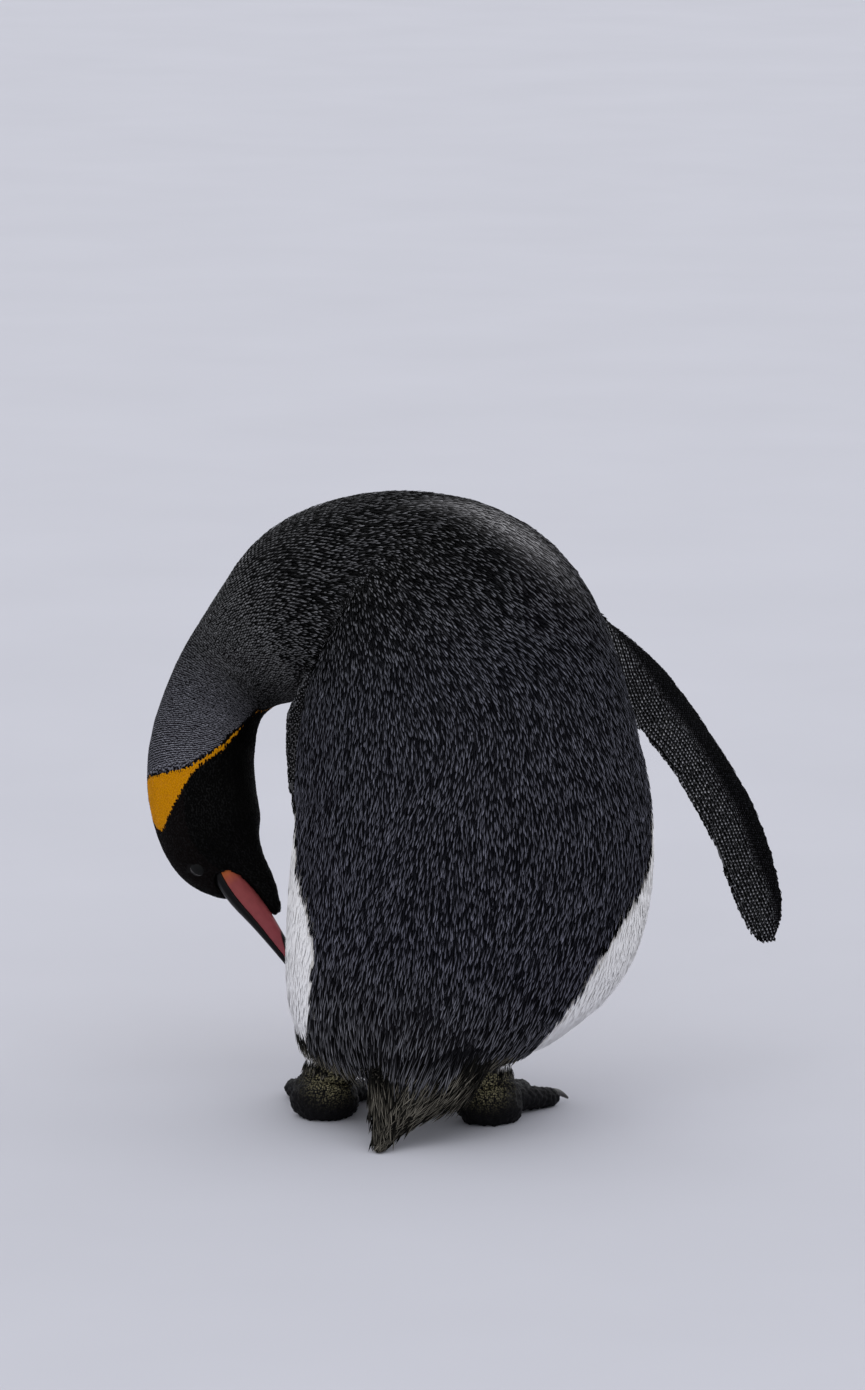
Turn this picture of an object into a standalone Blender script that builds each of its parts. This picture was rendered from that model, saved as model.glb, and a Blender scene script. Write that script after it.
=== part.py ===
"""A king penguin at life size, standing with its back rounded and its neck bent down to preen its flank.

The bird faces -Y, its left side is +X and the floor is z = 0. Trunk, neck and head are one loft along
a bent spine. It is remeshed into a single skin and then parted with thin cuts, so that the nodes meet
face to face. Flippers, tail, feet, bill, eyes and claws are lofts or shells of their own, each cut back
from what carries it.
"""

import math

import bmesh
import bpy
import numpy as np
from mathutils import Matrix, Vector

# --------------------------------------------------------------------------------------------------
# Driving dimensions, in metres and degrees
# --------------------------------------------------------------------------------------------------
CUT = 0.0004  # thickness of the cuts that part the body, and clearance between neighbours
BODY_VOXEL = 0.0042
BODY_SIDES, THIGH_SIDES, FLIPPER_SIDES, TAIL_SIDES = 40, 24, 16, 24
TARSUS_SIDES, TOE_SIDES, HIND_TOE_SIDES, CLAW_SIDES = 18, 14, 12, 8
THIGH_RINGS, CLAW_RINGS = 6, 6
BODY_SMOOTHING, FOOT_SMOOTHING = 9, 3
FOOT_VOXEL = 0.0017
BODY_TRIANGLES = 3400
FOOT_TRIANGLES = 520
SMALLEST_PIECE = 12  # corners; whatever a cut leaves below this is a crumb

# A ring of the body: centre, half width, height above and below the centre, and where its back faces.
SPINE = (
    # vent and thighs, close over the feet
    ((0.014, 0.004, 0.049), 0.070, 0.064, 0.060, (0, 1, 0)),
    ((0.012, 0.004, 0.058), 0.103, 0.096, 0.088, (0, 1, 0)),
    ((0.003, 0.002, 0.078), 0.122, 0.113, 0.105, (0, 1, 0)),
    # belly, the widest part
    ((-0.008, 0.000, 0.110), 0.138, 0.122, 0.118, (0, 1, 0)),
    ((-0.020, -0.005, 0.160), 0.149, 0.128, 0.130, (0, 1, 0)),
    ((-0.027, -0.017, 0.220), 0.151, 0.130, 0.132, (0, 1, 0)),
    # back and breast, leaning forward
    ((-0.023, -0.040, 0.279), 0.145, 0.120, 0.125, (0, 1, 0)),
    ((-0.017, -0.070, 0.339), 0.134, 0.108, 0.115, (0, 1, 0)),
    # shoulders, turning to the left
    ((-0.004, -0.100, 0.380), 0.122, 0.092, 0.104, (0.02, 0.9, 0.4)),
    ((0.018, -0.135, 0.396), 0.104, 0.082, 0.096, (0.12, 0.8, 0.55)),
    ((0.064, -0.165, 0.397), 0.095, 0.074, 0.086, (0.18, 0.8, 0.55)),
    # neck, bending down and twisting so that its nape ends up on the outside
    ((0.112, -0.184, 0.380), 0.083, 0.072, 0.070, (0.3, 0.8, 0.5)),
    ((0.155, -0.185, 0.350), 0.057, 0.056, 0.056, (0.45, 0.7, 0.5)),
    ((0.182, -0.175, 0.319), 0.045, 0.047, 0.041, (0.75, 0.5, 0.35)),
    # head, seen from its left side with the crown outwards
    ((0.197, -0.155, 0.274), 0.041, 0.047, 0.044, (0.94, 0.0, 0.15)),
    ((0.197, -0.135, 0.234), 0.037, 0.047, 0.046, (0.95, -0.2, -0.25)),
    ((0.187, -0.116, 0.199), 0.034, 0.042, 0.0455, (0.83, -0.23, -0.51)),
    ((0.169, -0.104, 0.180), 0.0175, 0.031, 0.035, (0.80, -0.25, -0.55)),
    # chin feathers, which run on under the bill
    ((0.145, -0.094, 0.164), 0.011, 0.017, 0.014, (0.75, -0.25, -0.6)),
    ((0.135, -0.087, 0.143), 0.006, 0.007, 0.007, (0.75, -0.25, -0.6)),
)

LEVEL_BELOW, LEVEL_FADE = 0.06, 0.18
HEAD_RING, HEAD_CUT, LEG_CUT = 14, (0.13, 0.13), (0.10, 0.10)
NECK_CUT = ((0.150, -0.180, 0.370), (0.80, -0.10, -0.60), 0.20, 0.160)

# A ring of the bill: centre, half width, height of the upper and of the lower mandible.
BILL = (
    ((0.1830, -0.1090, 0.1900), 0.0110, 0.0095, 0.0120),
    ((0.1745, -0.1015, 0.1740), 0.0142, 0.0112, 0.0128),
    ((0.1645, -0.0945, 0.1590), 0.0125, 0.0100, 0.0126),
    ((0.1500, -0.0860, 0.1420), 0.0092, 0.0078, 0.0112),
    ((0.1355, -0.0780, 0.1240), 0.0065, 0.0058, 0.0084),
    ((0.1215, -0.0715, 0.1065), 0.0044, 0.0046, 0.0050),
    ((0.1110, -0.0680, 0.0935), 0.0026, 0.0036, 0.0024),
    ((0.1065, -0.0675, 0.0865), 0.0010, 0.0022, 0.0008),
)
BILL_OVERHANG = 2  # rows of the upper mandible beyond the tip of the lower one
BILL_UP = Vector((0.83, -0.23, -0.51))

# A ring of a flipper: centre, half chord, half thickness, direction from trailing to leading edge.
FLIPPER_RIGHT = (
    ((-0.100, -0.097, 0.387), 0.030, 0.0160, (-0.60, -0.70, 0.40)),
    ((-0.143, -0.110, 0.353), 0.033, 0.0135, (-0.56, -0.75, 0.36)),
    ((-0.174, -0.116, 0.323), 0.0345, 0.0115, (-0.54, -0.77, 0.32)),
    ((-0.2075, -0.120, 0.277), 0.0330, 0.0095, (-0.55, -0.77, 0.32)),
    ((-0.2237, -0.120, 0.251), 0.0330, 0.0085, (-0.60, -0.74, 0.30)),
    ((-0.2432, -0.117, 0.216), 0.0322, 0.0075, (-0.66, -0.71, 0.25)),
    ((-0.2606, -0.111, 0.168), 0.0292, 0.0062, (-0.74, -0.65, 0.15)),
    ((-0.268, -0.107, 0.138), 0.0235, 0.0050, (-0.78, -0.62, 0.10)),
    ((-0.269, -0.105, 0.119), 0.0100, 0.0032, (-0.78, -0.62, 0.10)),
)
FLIPPER_LEFT = (
    ((0.090, -0.125, 0.350), 0.029, 0.016, (-0.60, -0.80, 0.0)),
    ((0.107, -0.143, 0.310), 0.034, 0.0130, (-0.62, -0.78, 0.0)),
    ((0.105, -0.158, 0.262), 0.0365, 0.0110, (-0.66, -0.75, 0.0)),
    ((0.096, -0.169, 0.210), 0.0355, 0.0090, (-0.72, -0.70, 0.0)),
    ((0.082, -0.177, 0.160), 0.0335, 0.0075, (-0.78, -0.62, 0.0)),
    ((0.066, -0.181, 0.112), 0.0285, 0.0062, (-0.84, -0.55, 0.0)),
    ((0.057, -0.182, 0.084), 0.0200, 0.0048, (-0.86, -0.50, 0.0)),
    ((0.052, -0.182, 0.068), 0.0070, 0.0030, (-0.86, -0.50, 0.0)),
)

# A ring of the tail: centre, half width, half thickness, how far its sides are bent around the rump.
TAIL = (
    ((0.010, 0.088, 0.1200), 0.052, 0.0280, 0.020),
    ((0.011, 0.0985, 0.0965), 0.060, 0.0280, 0.024),
    ((0.014, 0.1065, 0.0720), 0.058, 0.0240, 0.022),
    ((0.028, 0.117, 0.0470), 0.040, 0.0175, 0.012),
    ((0.040, 0.131, 0.0235), 0.0205, 0.0110, 0.003),
    ((0.0495, 0.151, -0.0020), 0.0075, 0.0065, 0.0),
)
# The block that takes the tail off the body: middle of its near face, tilt, size across, through, along.
TAIL_BLOCK, TAIL_TILT, TAIL_BLOCK_SIZE = (0.012, 0.115, 0.066), 18.0, (0.17, 0.09, 0.10)

# Hollows that are evened out, where the neck folds on to the back and where the tail leaves the rump:
# middle, reach, rounds of smoothing.
FOLDS = (
    ((0.085, -0.060, 0.390), 0.090, 60),
    ((0.000, 0.105, 0.095), 0.075, 25),
)

# Feet: where the ankle stands, which way the middle toe points (degrees from -Y towards +X) and which
# way the inner toe lies.
ANKLES = {"left": (0.094, 0.014, -5.0, -1), "right": (-0.041, 0.032, -18.0, 1)}
LEG_TOP, LEG_BOTTOM, LEG_RADIUS = 0.046, 0.025, 0.0245
THIGH_TOP, THIGH_LEAN, THIGH_MIDDLE = 0.085, 0.025, 0.02
ANKLE_HEIGHT, TARSUS_TOP = 0.013, 0.030
TARSUS_RADIUS, TARSUS_TAPER, HEEL_RADIUS = 0.0270, 0.88, 0.0285
HEEL_BACK, HEEL_DROP, JOINT_BACK, JOINT_RISE = 0.010, 0.003, 0.003, 0.007
END_REACH, END_NARROW = 0.6, 0.45
TOES = {"inner": (25.0, 0.068), "middle": (0.0, 0.085), "outer": (-27.0, 0.071)}
TOE_ROOT_HEIGHT, TOE_FLATTEN = 0.016, 0.85
TOE_DROPS = ((0.0, 0.0), (0.35, 0.002), (0.7, 0.006), (1.0, 0.009))
TOE_BASE_RADIUS, TOE_TIP_RADIUS = 0.0155, 0.0100
HIND_TOE_SPLAY, HIND_TOE_LENGTH, HIND_TOE_RADII = 69.0, 0.016, (0.006, 0.0042)
HIND_TOE_BACK, HIND_TOE_OUT, HIND_TOE_DROP = 0.004, 0.010, 0.005
WEB_STATIONS, WEB_SAG = (0.35, 0.6, 0.85), 0.9
WEB_THICKNESS, WEB_HEIGHT = 0.0070, 0.0075
CLAW_LENGTH, CLAW_ROOT, CLAW_RADIUS, CLAW_TAPER = 0.020, 0.004, 0.0046, 0.78
CLAW_HEIGHT, CLAW_ARCH, CLAW_DROP = 0.0095, 0.002, 0.0068
CLAW_ABOVE, CLAW_BELOW = 1.1, 0.9

# Eyes, in the frame of the head: along the bill, towards the crown, out to the side.
EYE_RING, EYE_NEXT, EYE_SHARE = 16, 17, 0.40
EYE_CROWNWARDS, EYE_OUTWARDS, EYE_RADIUS = 0.0170, 0.0176, 0.0080

# --------------------------------------------------------------------------------------------------
# Finishes: colour, roughness
# --------------------------------------------------------------------------------------------------
FINISHES = {
    "slate_plumage": ((0.035, 0.037, 0.048), 0.75),
    "neck_plumage": ((0.075, 0.078, 0.090), 0.75),
    "hood_plumage": ((0.010, 0.009, 0.009), 0.7),
    "flipper_plumage": ((0.030, 0.031, 0.036), 0.7),
    "tail_plumage": ((0.045, 0.045, 0.040), 0.8),
    "foot_skin": ((0.020, 0.020, 0.020), 0.6),
    "bill_horn": ((0.012, 0.012, 0.013), 0.35),
    "bill_plate": ((0.45, 0.12, 0.09), 0.4),
    "claw_horn": ((0.015, 0.014, 0.013), 0.4),
    "eye": ((0.02, 0.012, 0.008), 0.1),
}


def finish(name):
    made = bpy.data.materials.get(name)
    if made is None:
        made = bpy.data.materials.new(name)
        made.use_nodes = True
        shader = made.node_tree.nodes["Principled BSDF"]
        colour, roughness = FINISHES[name]
        shader.inputs["Base Color"].default_value = (*colour, 1.0)
        shader.inputs["Roughness"].default_value = roughness
        shader.inputs["Metallic"].default_value = 0.0
    return made


# --------------------------------------------------------------------------------------------------
# Helpers
# --------------------------------------------------------------------------------------------------
def clear_scene():
    for old in list(bpy.data.objects):
        bpy.data.objects.remove(old, do_unlink=True)


def smooth_rows(rows, steps):
    """Catmull-Rom interpolation of rows of numbers, with this many steps from each row to the next."""
    rows = np.array(rows, float)
    padded = np.vstack([2 * rows[0] - rows[1], rows, 2 * rows[-1] - rows[-2]])
    found = []
    for p0, p1, p2, p3 in zip(padded, padded[1:], padded[2:], padded[3:]):
        for t in np.linspace(0, 1, steps, endpoint=False):
            found.append(
                0.5
                * (
                    2 * p1
                    + (p2 - p0) * t
                    + (2 * p0 - 5 * p1 + 4 * p2 - p3) * t**2
                    + (3 * p1 - p0 - 3 * p2 + p3) * t**3
                )
            )
    found.append(rows[-1])
    return np.array(found)


def unit(vectors):
    return vectors / np.linalg.norm(vectors, axis=-1, keepdims=True)


def frames_along(centres, hints, along=None):
    """Unit vectors at each centre: along the path, along the hint squared to the path, and across both."""
    along = unit(np.gradient(centres, axis=0)) if along is None else along
    upward = unit(hints - along * (hints * along).sum(1, keepdims=True))
    return along, upward, np.cross(upward, along)


def mesh_object(name, points, faces):
    mesh = bpy.data.meshes.new(name)
    mesh.from_pydata([tuple(p) for p in points], [], faces)
    shell = bmesh.new()
    shell.from_mesh(mesh)
    bmesh.ops.recalc_face_normals(shell, faces=shell.faces)
    shell.to_mesh(mesh)
    shell.free()
    obj = bpy.data.objects.new(name, mesh)
    bpy.context.scene.collection.objects.link(obj)
    return obj


def loft(name, rings):
    """A closed skin through rings of equally many points, with flat ends."""
    count, sides = len(rings), len(rings[0])
    faces = [tuple(range(sides)), tuple((count - 1) * sides + i for i in range(sides))]
    for r in range(count - 1):
        for i in range(sides):
            j = (i + 1) % sides
            faces.append((r * sides + i, r * sides + j, (r + 1) * sides + j, (r + 1) * sides + i))
    return mesh_object(name, np.concatenate(rings), faces)


def oval(centre, across, half_across, upward, above, below, sides):
    """One ring: an oval with its own height above and below the centre."""
    turn = np.linspace(0, 2 * math.pi, sides, endpoint=False)
    rise = np.where(np.sin(turn) > 0, above, below) * np.sin(turn)
    return centre + np.outer(np.cos(turn) * half_across, across) + np.outer(rise, upward)


def evaluated(obj):
    """Applies the object's modifiers for good."""
    graph = bpy.context.evaluated_depsgraph_get()
    mesh = bpy.data.meshes.new_from_object(obj.evaluated_get(graph))
    mesh.transform(obj.matrix_world)
    obj.modifiers.clear()
    obj.data = mesh
    obj.matrix_world = Matrix.Identity(4)
    return obj


def even_out(obj, middle, reach, rounds):
    """Smooths away a hollow, most at its middle and less towards its reach."""
    group = obj.vertex_groups.new(name="hollow")
    for point in obj.data.vertices:
        away = (point.co - Vector(middle)).length / reach
        group.add([point.index], max(0.0, 1 - away**2), "REPLACE")
    relax = obj.modifiers.new("Even", "SMOOTH")
    relax.factor, relax.iterations, relax.vertex_group = 0.5, rounds, group.name
    evaluated(obj)
    obj.vertex_groups.clear()


def one_skin(obj, voxel, triangles, smoothing, hollows=()):
    """Fuses overlapping shells into one skin, smooths it and thins it to about this many triangles."""
    fuse = obj.modifiers.new("Fuse", "REMESH")
    fuse.mode = "VOXEL"
    fuse.voxel_size = voxel
    relax = obj.modifiers.new("Relax", "SMOOTH")
    relax.factor = 0.5
    relax.iterations = smoothing
    evaluated(obj)
    for hollow in hollows:
        even_out(obj, *hollow)
    thin = obj.modifiers.new("Thin", "DECIMATE")
    thin.ratio = min(1.0, triangles / (2 * len(obj.data.polygons)))
    return evaluated(obj)


def boolean(obj, other, operation):
    cut = obj.modifiers.new("Boolean", "BOOLEAN")
    cut.operation = operation
    cut.object = other
    evaluated(obj)


def cut_back(obj, neighbour, clearance=CUT):
    """Cuts from obj all that its neighbour fills, with a little clearance."""
    cutter = bpy.data.objects.new("cutter", neighbour.data.copy())
    bpy.context.scene.collection.objects.link(cutter)
    swell = cutter.modifiers.new("Swell", "DISPLACE")
    swell.strength, swell.mid_level = clearance, 0.0
    evaluated(cutter)
    boolean(obj, cutter, "DIFFERENCE")
    bpy.data.objects.remove(cutter)


def keep_beyond(obj, place, direction):
    """Cuts off all that lies behind a plane and closes the cut."""
    shell = bmesh.new()
    shell.from_mesh(obj.data)
    geometry = shell.verts[:] + shell.edges[:] + shell.faces[:]
    cut = bmesh.ops.bisect_plane(
        shell, geom=geometry, plane_co=place, plane_no=direction, clear_inner=True, dist=1e-6
    )
    edges = [e for e in cut["geom_cut"] if isinstance(e, bmesh.types.BMEdge)]
    bmesh.ops.holes_fill(shell, edges=edges)
    bmesh.ops.triangulate(shell, faces=shell.faces[:])
    bmesh.ops.recalc_face_normals(shell, faces=shell.faces)
    shell.to_mesh(obj.data)
    shell.free()


def largest_piece(obj):
    """Keeps the biggest of the bodies that a cut left, and drops crumbs."""
    pieces = split_loose(obj)
    pieces.sort(key=lambda piece: len(piece.data.vertices), reverse=True)
    for crumb in pieces[1:]:
        bpy.data.objects.remove(crumb)
    return pieces[0]


def split_loose(obj):
    """Separates an object into its unconnected bodies."""
    bpy.ops.object.select_all(action="DESELECT")
    obj.select_set(True)
    bpy.context.view_layer.objects.active = obj
    bpy.ops.object.mode_set(mode="EDIT")
    bpy.ops.mesh.select_all(action="SELECT")
    bpy.ops.mesh.separate(type="LOOSE")
    bpy.ops.object.mode_set(mode="OBJECT")
    return list(bpy.context.selected_objects)


def joined(objects):
    bpy.ops.object.select_all(action="DESELECT")
    for obj in objects:
        obj.select_set(True)
    bpy.context.view_layer.objects.active = objects[0]
    bpy.ops.object.join()
    return objects[0]


def slab(centre, normal, breadth, height):
    """A thin plate across the body, which parts it. Its height runs upwards as far as its tilt allows."""
    bpy.ops.mesh.primitive_cube_add(size=1.0)
    plate = bpy.context.object
    plate.name = "slab"
    turn = Vector(normal).to_track_quat("Z", "Y").to_matrix().to_4x4()
    size = Matrix.Diagonal((breadth, height, CUT, 1.0))
    plate.data.transform(Matrix.Translation(Vector(centre)) @ turn @ size)
    return plate


def named(obj, name, material):
    obj.name = name
    obj.data.name = name
    obj.data.materials.clear()
    obj.data.materials.append(finish(material))
    obj.data.shade_smooth()
    obj.data.set_sharp_from_angle(angle=math.radians(50))
    return obj


# --------------------------------------------------------------------------------------------------
# Trunk, neck and head
# --------------------------------------------------------------------------------------------------
def spine_rows():
    return [(*c, w, above, below, *hint) for c, w, above, below, hint in SPINE]


def body_frames(rows):
    """Frames along the spine. The rings low on the trunk lie level, whatever way the spine leans there."""
    centres, hints = rows[:, 0:3], rows[:, 6:9]
    along = unit(np.gradient(centres, axis=0))
    free = np.clip((centres[:, 2:3] - LEVEL_BELOW) / LEVEL_FADE, 0, 1)
    free = free**2 * (3 - 2 * free)
    free[np.argmax(centres[:, 2]) :] = 1.0
    along = unit(along * free + np.array((0, 0, 1.0)) * (1 - free))
    return frames_along(centres, hints, along)


def body_shell():
    """Trunk, neck, head and tail as one skin, with the thighs fused in."""
    rows = smooth_rows(spine_rows(), 4)
    _, upward, across = body_frames(rows)
    rings = []
    for row, side, rise in zip(rows, across, upward):
        rings.append(oval(row[0:3], side, row[3], rise, row[4], row[5], BODY_SIDES))
    shells = [loft("body", rings)]
    for x, y, _, _ in ANKLES.values():
        shells.append(thigh(x, y))
    shells.append(tail_fan())
    return one_skin(joined(shells), BODY_VOXEL, BODY_TRIANGLES, BODY_SMOOTHING, FOLDS)


def thigh(x, y):
    """The feathered stump of a leg, from inside the trunk to just over the foot."""
    heights = np.linspace(LEG_BOTTOM, THIGH_TOP, THIGH_RINGS)
    inward = np.linspace(0, THIGH_LEAN, THIGH_RINGS) * np.sign(THIGH_MIDDLE - x)
    across, upward, radius = np.array((1.0, 0, 0)), np.array((0, 1.0, 0)), LEG_RADIUS
    rings = [
        oval(np.array((x + shift, y, z)), across, radius, upward, radius, radius, THIGH_SIDES)
        for z, shift in zip(heights, inward)
    ]
    return loft("thigh", rings)


def tail_fan():
    """A flattened fan of stiff feathers, bent around the rump."""
    rows = smooth_rows([(*c, w, t, bend) for c, w, t, bend in TAIL], 3)
    hints = np.tile((1.0, 0.0, 0.0), (len(rows), 1))
    _, across, normal = frames_along(rows[:, 0:3], hints)
    turn = np.linspace(0, 2 * math.pi, TAIL_SIDES, endpoint=False)
    reach = np.cos(turn)
    rings = []
    for row, side, out in zip(rows, across, normal):
        outward = out * np.sign(out[1])
        flat = row[0:3] + np.outer(reach * row[3], side)
        rings.append(flat + np.outer(np.sin(turn) * row[4] - reach**2 * row[5], outward))
    return loft("tail", rings)


def tail_block(spare):
    """A block around the tail, larger by the spare width on every side."""
    bpy.ops.mesh.primitive_cube_add(size=1.0)
    block = bpy.context.object
    size = [side + 2 * spare for side in TAIL_BLOCK_SIZE]
    hang = Matrix.Translation((0, 0, -TAIL_BLOCK_SIZE[2] / 2)) @ Matrix.Diagonal((*size, 1.0))
    turn = Matrix.Rotation(math.radians(TAIL_TILT), 4, "X")
    block.data.transform(Matrix.Translation(TAIL_BLOCK) @ turn @ hang)
    return block


def parted_tail(body):
    """Takes the tail off the body and leaves a thin cut between them. Its tip is level with the floor."""
    tail = bpy.data.objects.new("tail", body.data.copy())
    bpy.context.scene.collection.objects.link(tail)
    for piece, spare, operation in ((tail, 0.0, "INTERSECT"), (body, CUT, "DIFFERENCE")):
        block = tail_block(spare)
        boolean(piece, block, operation)
        bpy.data.objects.remove(block)
    keep_beyond(tail, (0, 0, 0), (0, 0, 1))
    return largest_piece(tail)


def station(index, following=None, share=0.0):
    """Centre and frame of the body between two of the spine's rows."""
    rows = np.array(spine_rows())
    centres = rows[:, 0:3]
    along, upward, across = body_frames(rows)
    following = index if following is None else following
    mixed = [
        (1 - share) * part[index] + share * part[following]
        for part in (centres, along, upward, across)
    ]
    return [Vector(v) for v in mixed]


def part_body(body):
    """Parts the skin with thin cuts into head, neck, trunk and the two legs."""
    centre, along, _, _ = station(HEAD_RING)
    plates = [slab(centre, along, *HEAD_CUT), slab(*NECK_CUT)]
    for x, y, _, _ in ANKLES.values():
        plates.append(slab((x, y, LEG_TOP), (0, 0, 1), *LEG_CUT))
    for plate in plates:
        boolean(body, plate, "DIFFERENCE")
        bpy.data.objects.remove(plate)
    return split_loose(body)


# --------------------------------------------------------------------------------------------------
# Bill and eyes
# --------------------------------------------------------------------------------------------------
def bill_half(name, upper):
    """One mandible: a half oval from the gape outwards, flat where the two meet."""
    rows = smooth_rows([(*c, w, up, low) for c, w, up, low in BILL], 3)
    if not upper:
        rows = rows[:-BILL_OVERHANG]
    centres = rows[:, 0:3]
    hints = np.tile(np.array(BILL_UP), (len(rows), 1))
    _, upward, across = frames_along(centres, hints)
    turn = np.linspace(0, math.pi, 9)
    sign = 1 if upper else -1
    rings = []
    for i, row in enumerate(rows):
        height = row[4] if upper else row[5]
        gap = sign * CUT / 2 * upward[i]
        sides = np.outer(np.cos(turn) * row[3], across[i])
        rise = np.outer(sign * np.sin(turn) ** 0.85 * height, upward[i])
        rings.append(centres[i] + gap + sides + rise)
    return loft(name, rings)


def eyeball(name, side):
    centre, _, upward, across = station(EYE_RING, EYE_NEXT, EYE_SHARE)
    place = centre + upward * EYE_CROWNWARDS + across * EYE_OUTWARDS * side
    bpy.ops.mesh.primitive_uv_sphere_add(segments=12, ring_count=7, radius=EYE_RADIUS)
    ball = bpy.context.object
    ball.name = name
    turn = Vector(across * side).to_track_quat("Z", "Y").to_matrix().to_4x4()
    ball.data.transform(Matrix.Translation(place) @ turn)
    return ball


# --------------------------------------------------------------------------------------------------
# Flippers
# --------------------------------------------------------------------------------------------------
def flipper(name, table):
    """A paddle with a blunt leading edge and a thin trailing edge."""
    rows = smooth_rows([(*c, chord, thick, *hint) for c, chord, thick, hint in table], 2)
    centres, hints = rows[:, 0:3], rows[:, 5:8]
    _, leading, normal = frames_along(centres, hints)
    turn = np.linspace(0, 2 * math.pi, FLIPPER_SIDES, endpoint=False)
    rings = []
    for i, row in enumerate(rows):
        reach = np.cos(turn)
        bulge = np.sin(turn) * (0.72 + 0.28 * reach) + 0.12 * np.sin(turn) ** 3
        rings.append(
            centres[i] + np.outer(reach * row[3], leading[i]) + np.outer(bulge * row[4], normal[i])
        )
    return loft(name, rings)


# --------------------------------------------------------------------------------------------------
# Feet
# --------------------------------------------------------------------------------------------------
def limb(name, places, radii, sides, flatten=1.0):
    """A round limb through these places, with rounded ends."""
    places, radii = np.array(places, float), list(radii)
    along = unit(np.gradient(places, axis=0))
    first = places[0] - along[0] * radii[0] * END_REACH
    last = places[-1] + along[-1] * radii[-1] * END_REACH
    places = np.vstack([first, places, last])
    radii = [radii[0] * END_NARROW, *radii, radii[-1] * END_NARROW]
    rows = smooth_rows(np.column_stack([places, radii]), 3)
    hint = (0, 0, 1.0) if abs(along[0][2]) < 0.8 else (0, 1.0, 0)
    _, upward, across = frames_along(rows[:, 0:3], np.tile(hint, (len(rows), 1)))
    rings = []
    for row, rise, side in zip(rows, upward, across):
        height = row[3] * flatten
        rings.append(oval(row[0:3], side, row[3], rise, height, height, sides))
    return loft(name, rings)


def heading_vector(degrees):
    """Unit vector on the floor, turned this far from straight ahead."""
    angle = math.radians(degrees)
    return np.array((math.sin(angle), -math.cos(angle), 0.0))


def toe_line(x, y, heading, length):
    """The points of one toe, from the ankle to its tip: up over the knuckle, then down to the floor."""
    ahead = heading_vector(heading)
    start = np.array((x, y, TOE_ROOT_HEIGHT))
    return [start + ahead * length * share + np.array((0, 0, -drop)) for share, drop in TOE_DROPS]


def web(first, second, ankle):
    """The thin skin between two toes."""
    edge = []
    for share in WEB_STATIONS:
        edge.append([a + (b - a) * share for a, b in ((ankle, first[-1]), (ankle, second[-1]))])
    middle = (edge[-1][0] + edge[-1][1]) / 2 * WEB_SAG + ankle * (1 - WEB_SAG)
    outline = [ankle, *[e[0] for e in edge], middle, *[e[1] for e in reversed(edge)]]
    lift = np.array((0, 0, WEB_THICKNESS / 2))
    flat = [np.array((p[0], p[1], WEB_HEIGHT)) for p in outline]
    return loft("web", [np.array([p - lift for p in flat]), np.array([p + lift for p in flat])])


def tarsus(ankle, back):
    """The bulging heel and the short upright bone over it."""
    heel = ankle + back * HEEL_BACK + (0, 0, -HEEL_DROP)
    joint = ankle + back * JOINT_BACK + (0, 0, JOINT_RISE)
    top = np.array((ankle[0], ankle[1], TARSUS_TOP))
    radii = (HEEL_RADIUS, TARSUS_RADIUS, TARSUS_RADIUS * TARSUS_TAPER)
    return limb("tarsus", [heel, joint, top], radii, TARSUS_SIDES)


def foot(side):
    """Tarsus, heel, three webbed toes and the small hind toe as one skin, standing on its sole."""
    x, y, heading, inward = ANKLES[side]
    ankle = np.array((x, y, ANKLE_HEIGHT))
    back = -heading_vector(heading)
    shells = [tarsus(ankle, back)]
    lines = {}
    for toe, (splay, length) in TOES.items():
        lines[toe] = toe_line(x, y, heading + inward * splay, length)
        radii = np.linspace(TOE_BASE_RADIUS, TOE_TIP_RADIUS, len(TOE_DROPS))
        shells.append(limb("toe", lines[toe], radii, TOE_SIDES, TOE_FLATTEN))
    for first, second in (("inner", "middle"), ("middle", "outer")):
        shells.append(web(lines[first], lines[second], ankle))
    ahead = heading_vector(heading + inward * HIND_TOE_SPLAY)
    root = ankle + back * HIND_TOE_BACK + ahead * HIND_TOE_OUT
    tip = root + ahead * HIND_TOE_LENGTH + (0, 0, -HIND_TOE_DROP)
    shells.append(limb("hind", [root, tip], HIND_TOE_RADII, HIND_TOE_SIDES))
    skin = one_skin(joined(shells), FOOT_VOXEL, FOOT_TRIANGLES, FOOT_SMOOTHING)
    keep_beyond(skin, (0, 0, 0), (0, 0, 1))
    return skin, lines


def claw(name, line):
    """A blunt horn claw that grows out of a toe's tip and curves down to the floor."""
    tip = np.array(line[-1])
    ahead = unit(tip - np.array(line[-2]))
    ahead[2] = 0.0
    rows = []
    for share in np.linspace(0, 1, CLAW_RINGS):
        forward = -CLAW_ROOT + (CLAW_LENGTH + CLAW_ROOT) * share
        height = CLAW_HEIGHT + CLAW_ARCH * math.sin(math.pi * share) - CLAW_DROP * share**1.6
        place = np.array((tip[0], tip[1], 0.0)) + ahead * forward + np.array((0, 0, height))
        rows.append((*place, CLAW_RADIUS * (1 - CLAW_TAPER * share**1.4)))
    rows = np.array(rows)
    _, upward, across = frames_along(rows[:, 0:3], np.tile((0, 0, 1.0), (len(rows), 1)))
    rings = []
    for row, rise, side in zip(rows, upward, across):
        above, below = row[3] * CLAW_ABOVE, row[3] * CLAW_BELOW
        rings.append(oval(row[0:3], side, row[3], rise, above, below, CLAW_SIDES))
    return loft(name, rings)


# --------------------------------------------------------------------------------------------------
# Assembly
# --------------------------------------------------------------------------------------------------
def lowest(obj):
    return min(v.co.z for v in obj.data.vertices)


def centre_on_origin():
    """Moves the whole bird so that the middle of its bounding box's floor is the origin."""
    points = np.array([v.co for obj in bpy.data.objects for v in obj.data.vertices])
    middle = (points.min(0) + points.max(0)) / 2
    for obj in bpy.data.objects:
        obj.data.transform(Matrix.Translation((-middle[0], -middle[1], -points[:, 2].min())))


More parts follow.
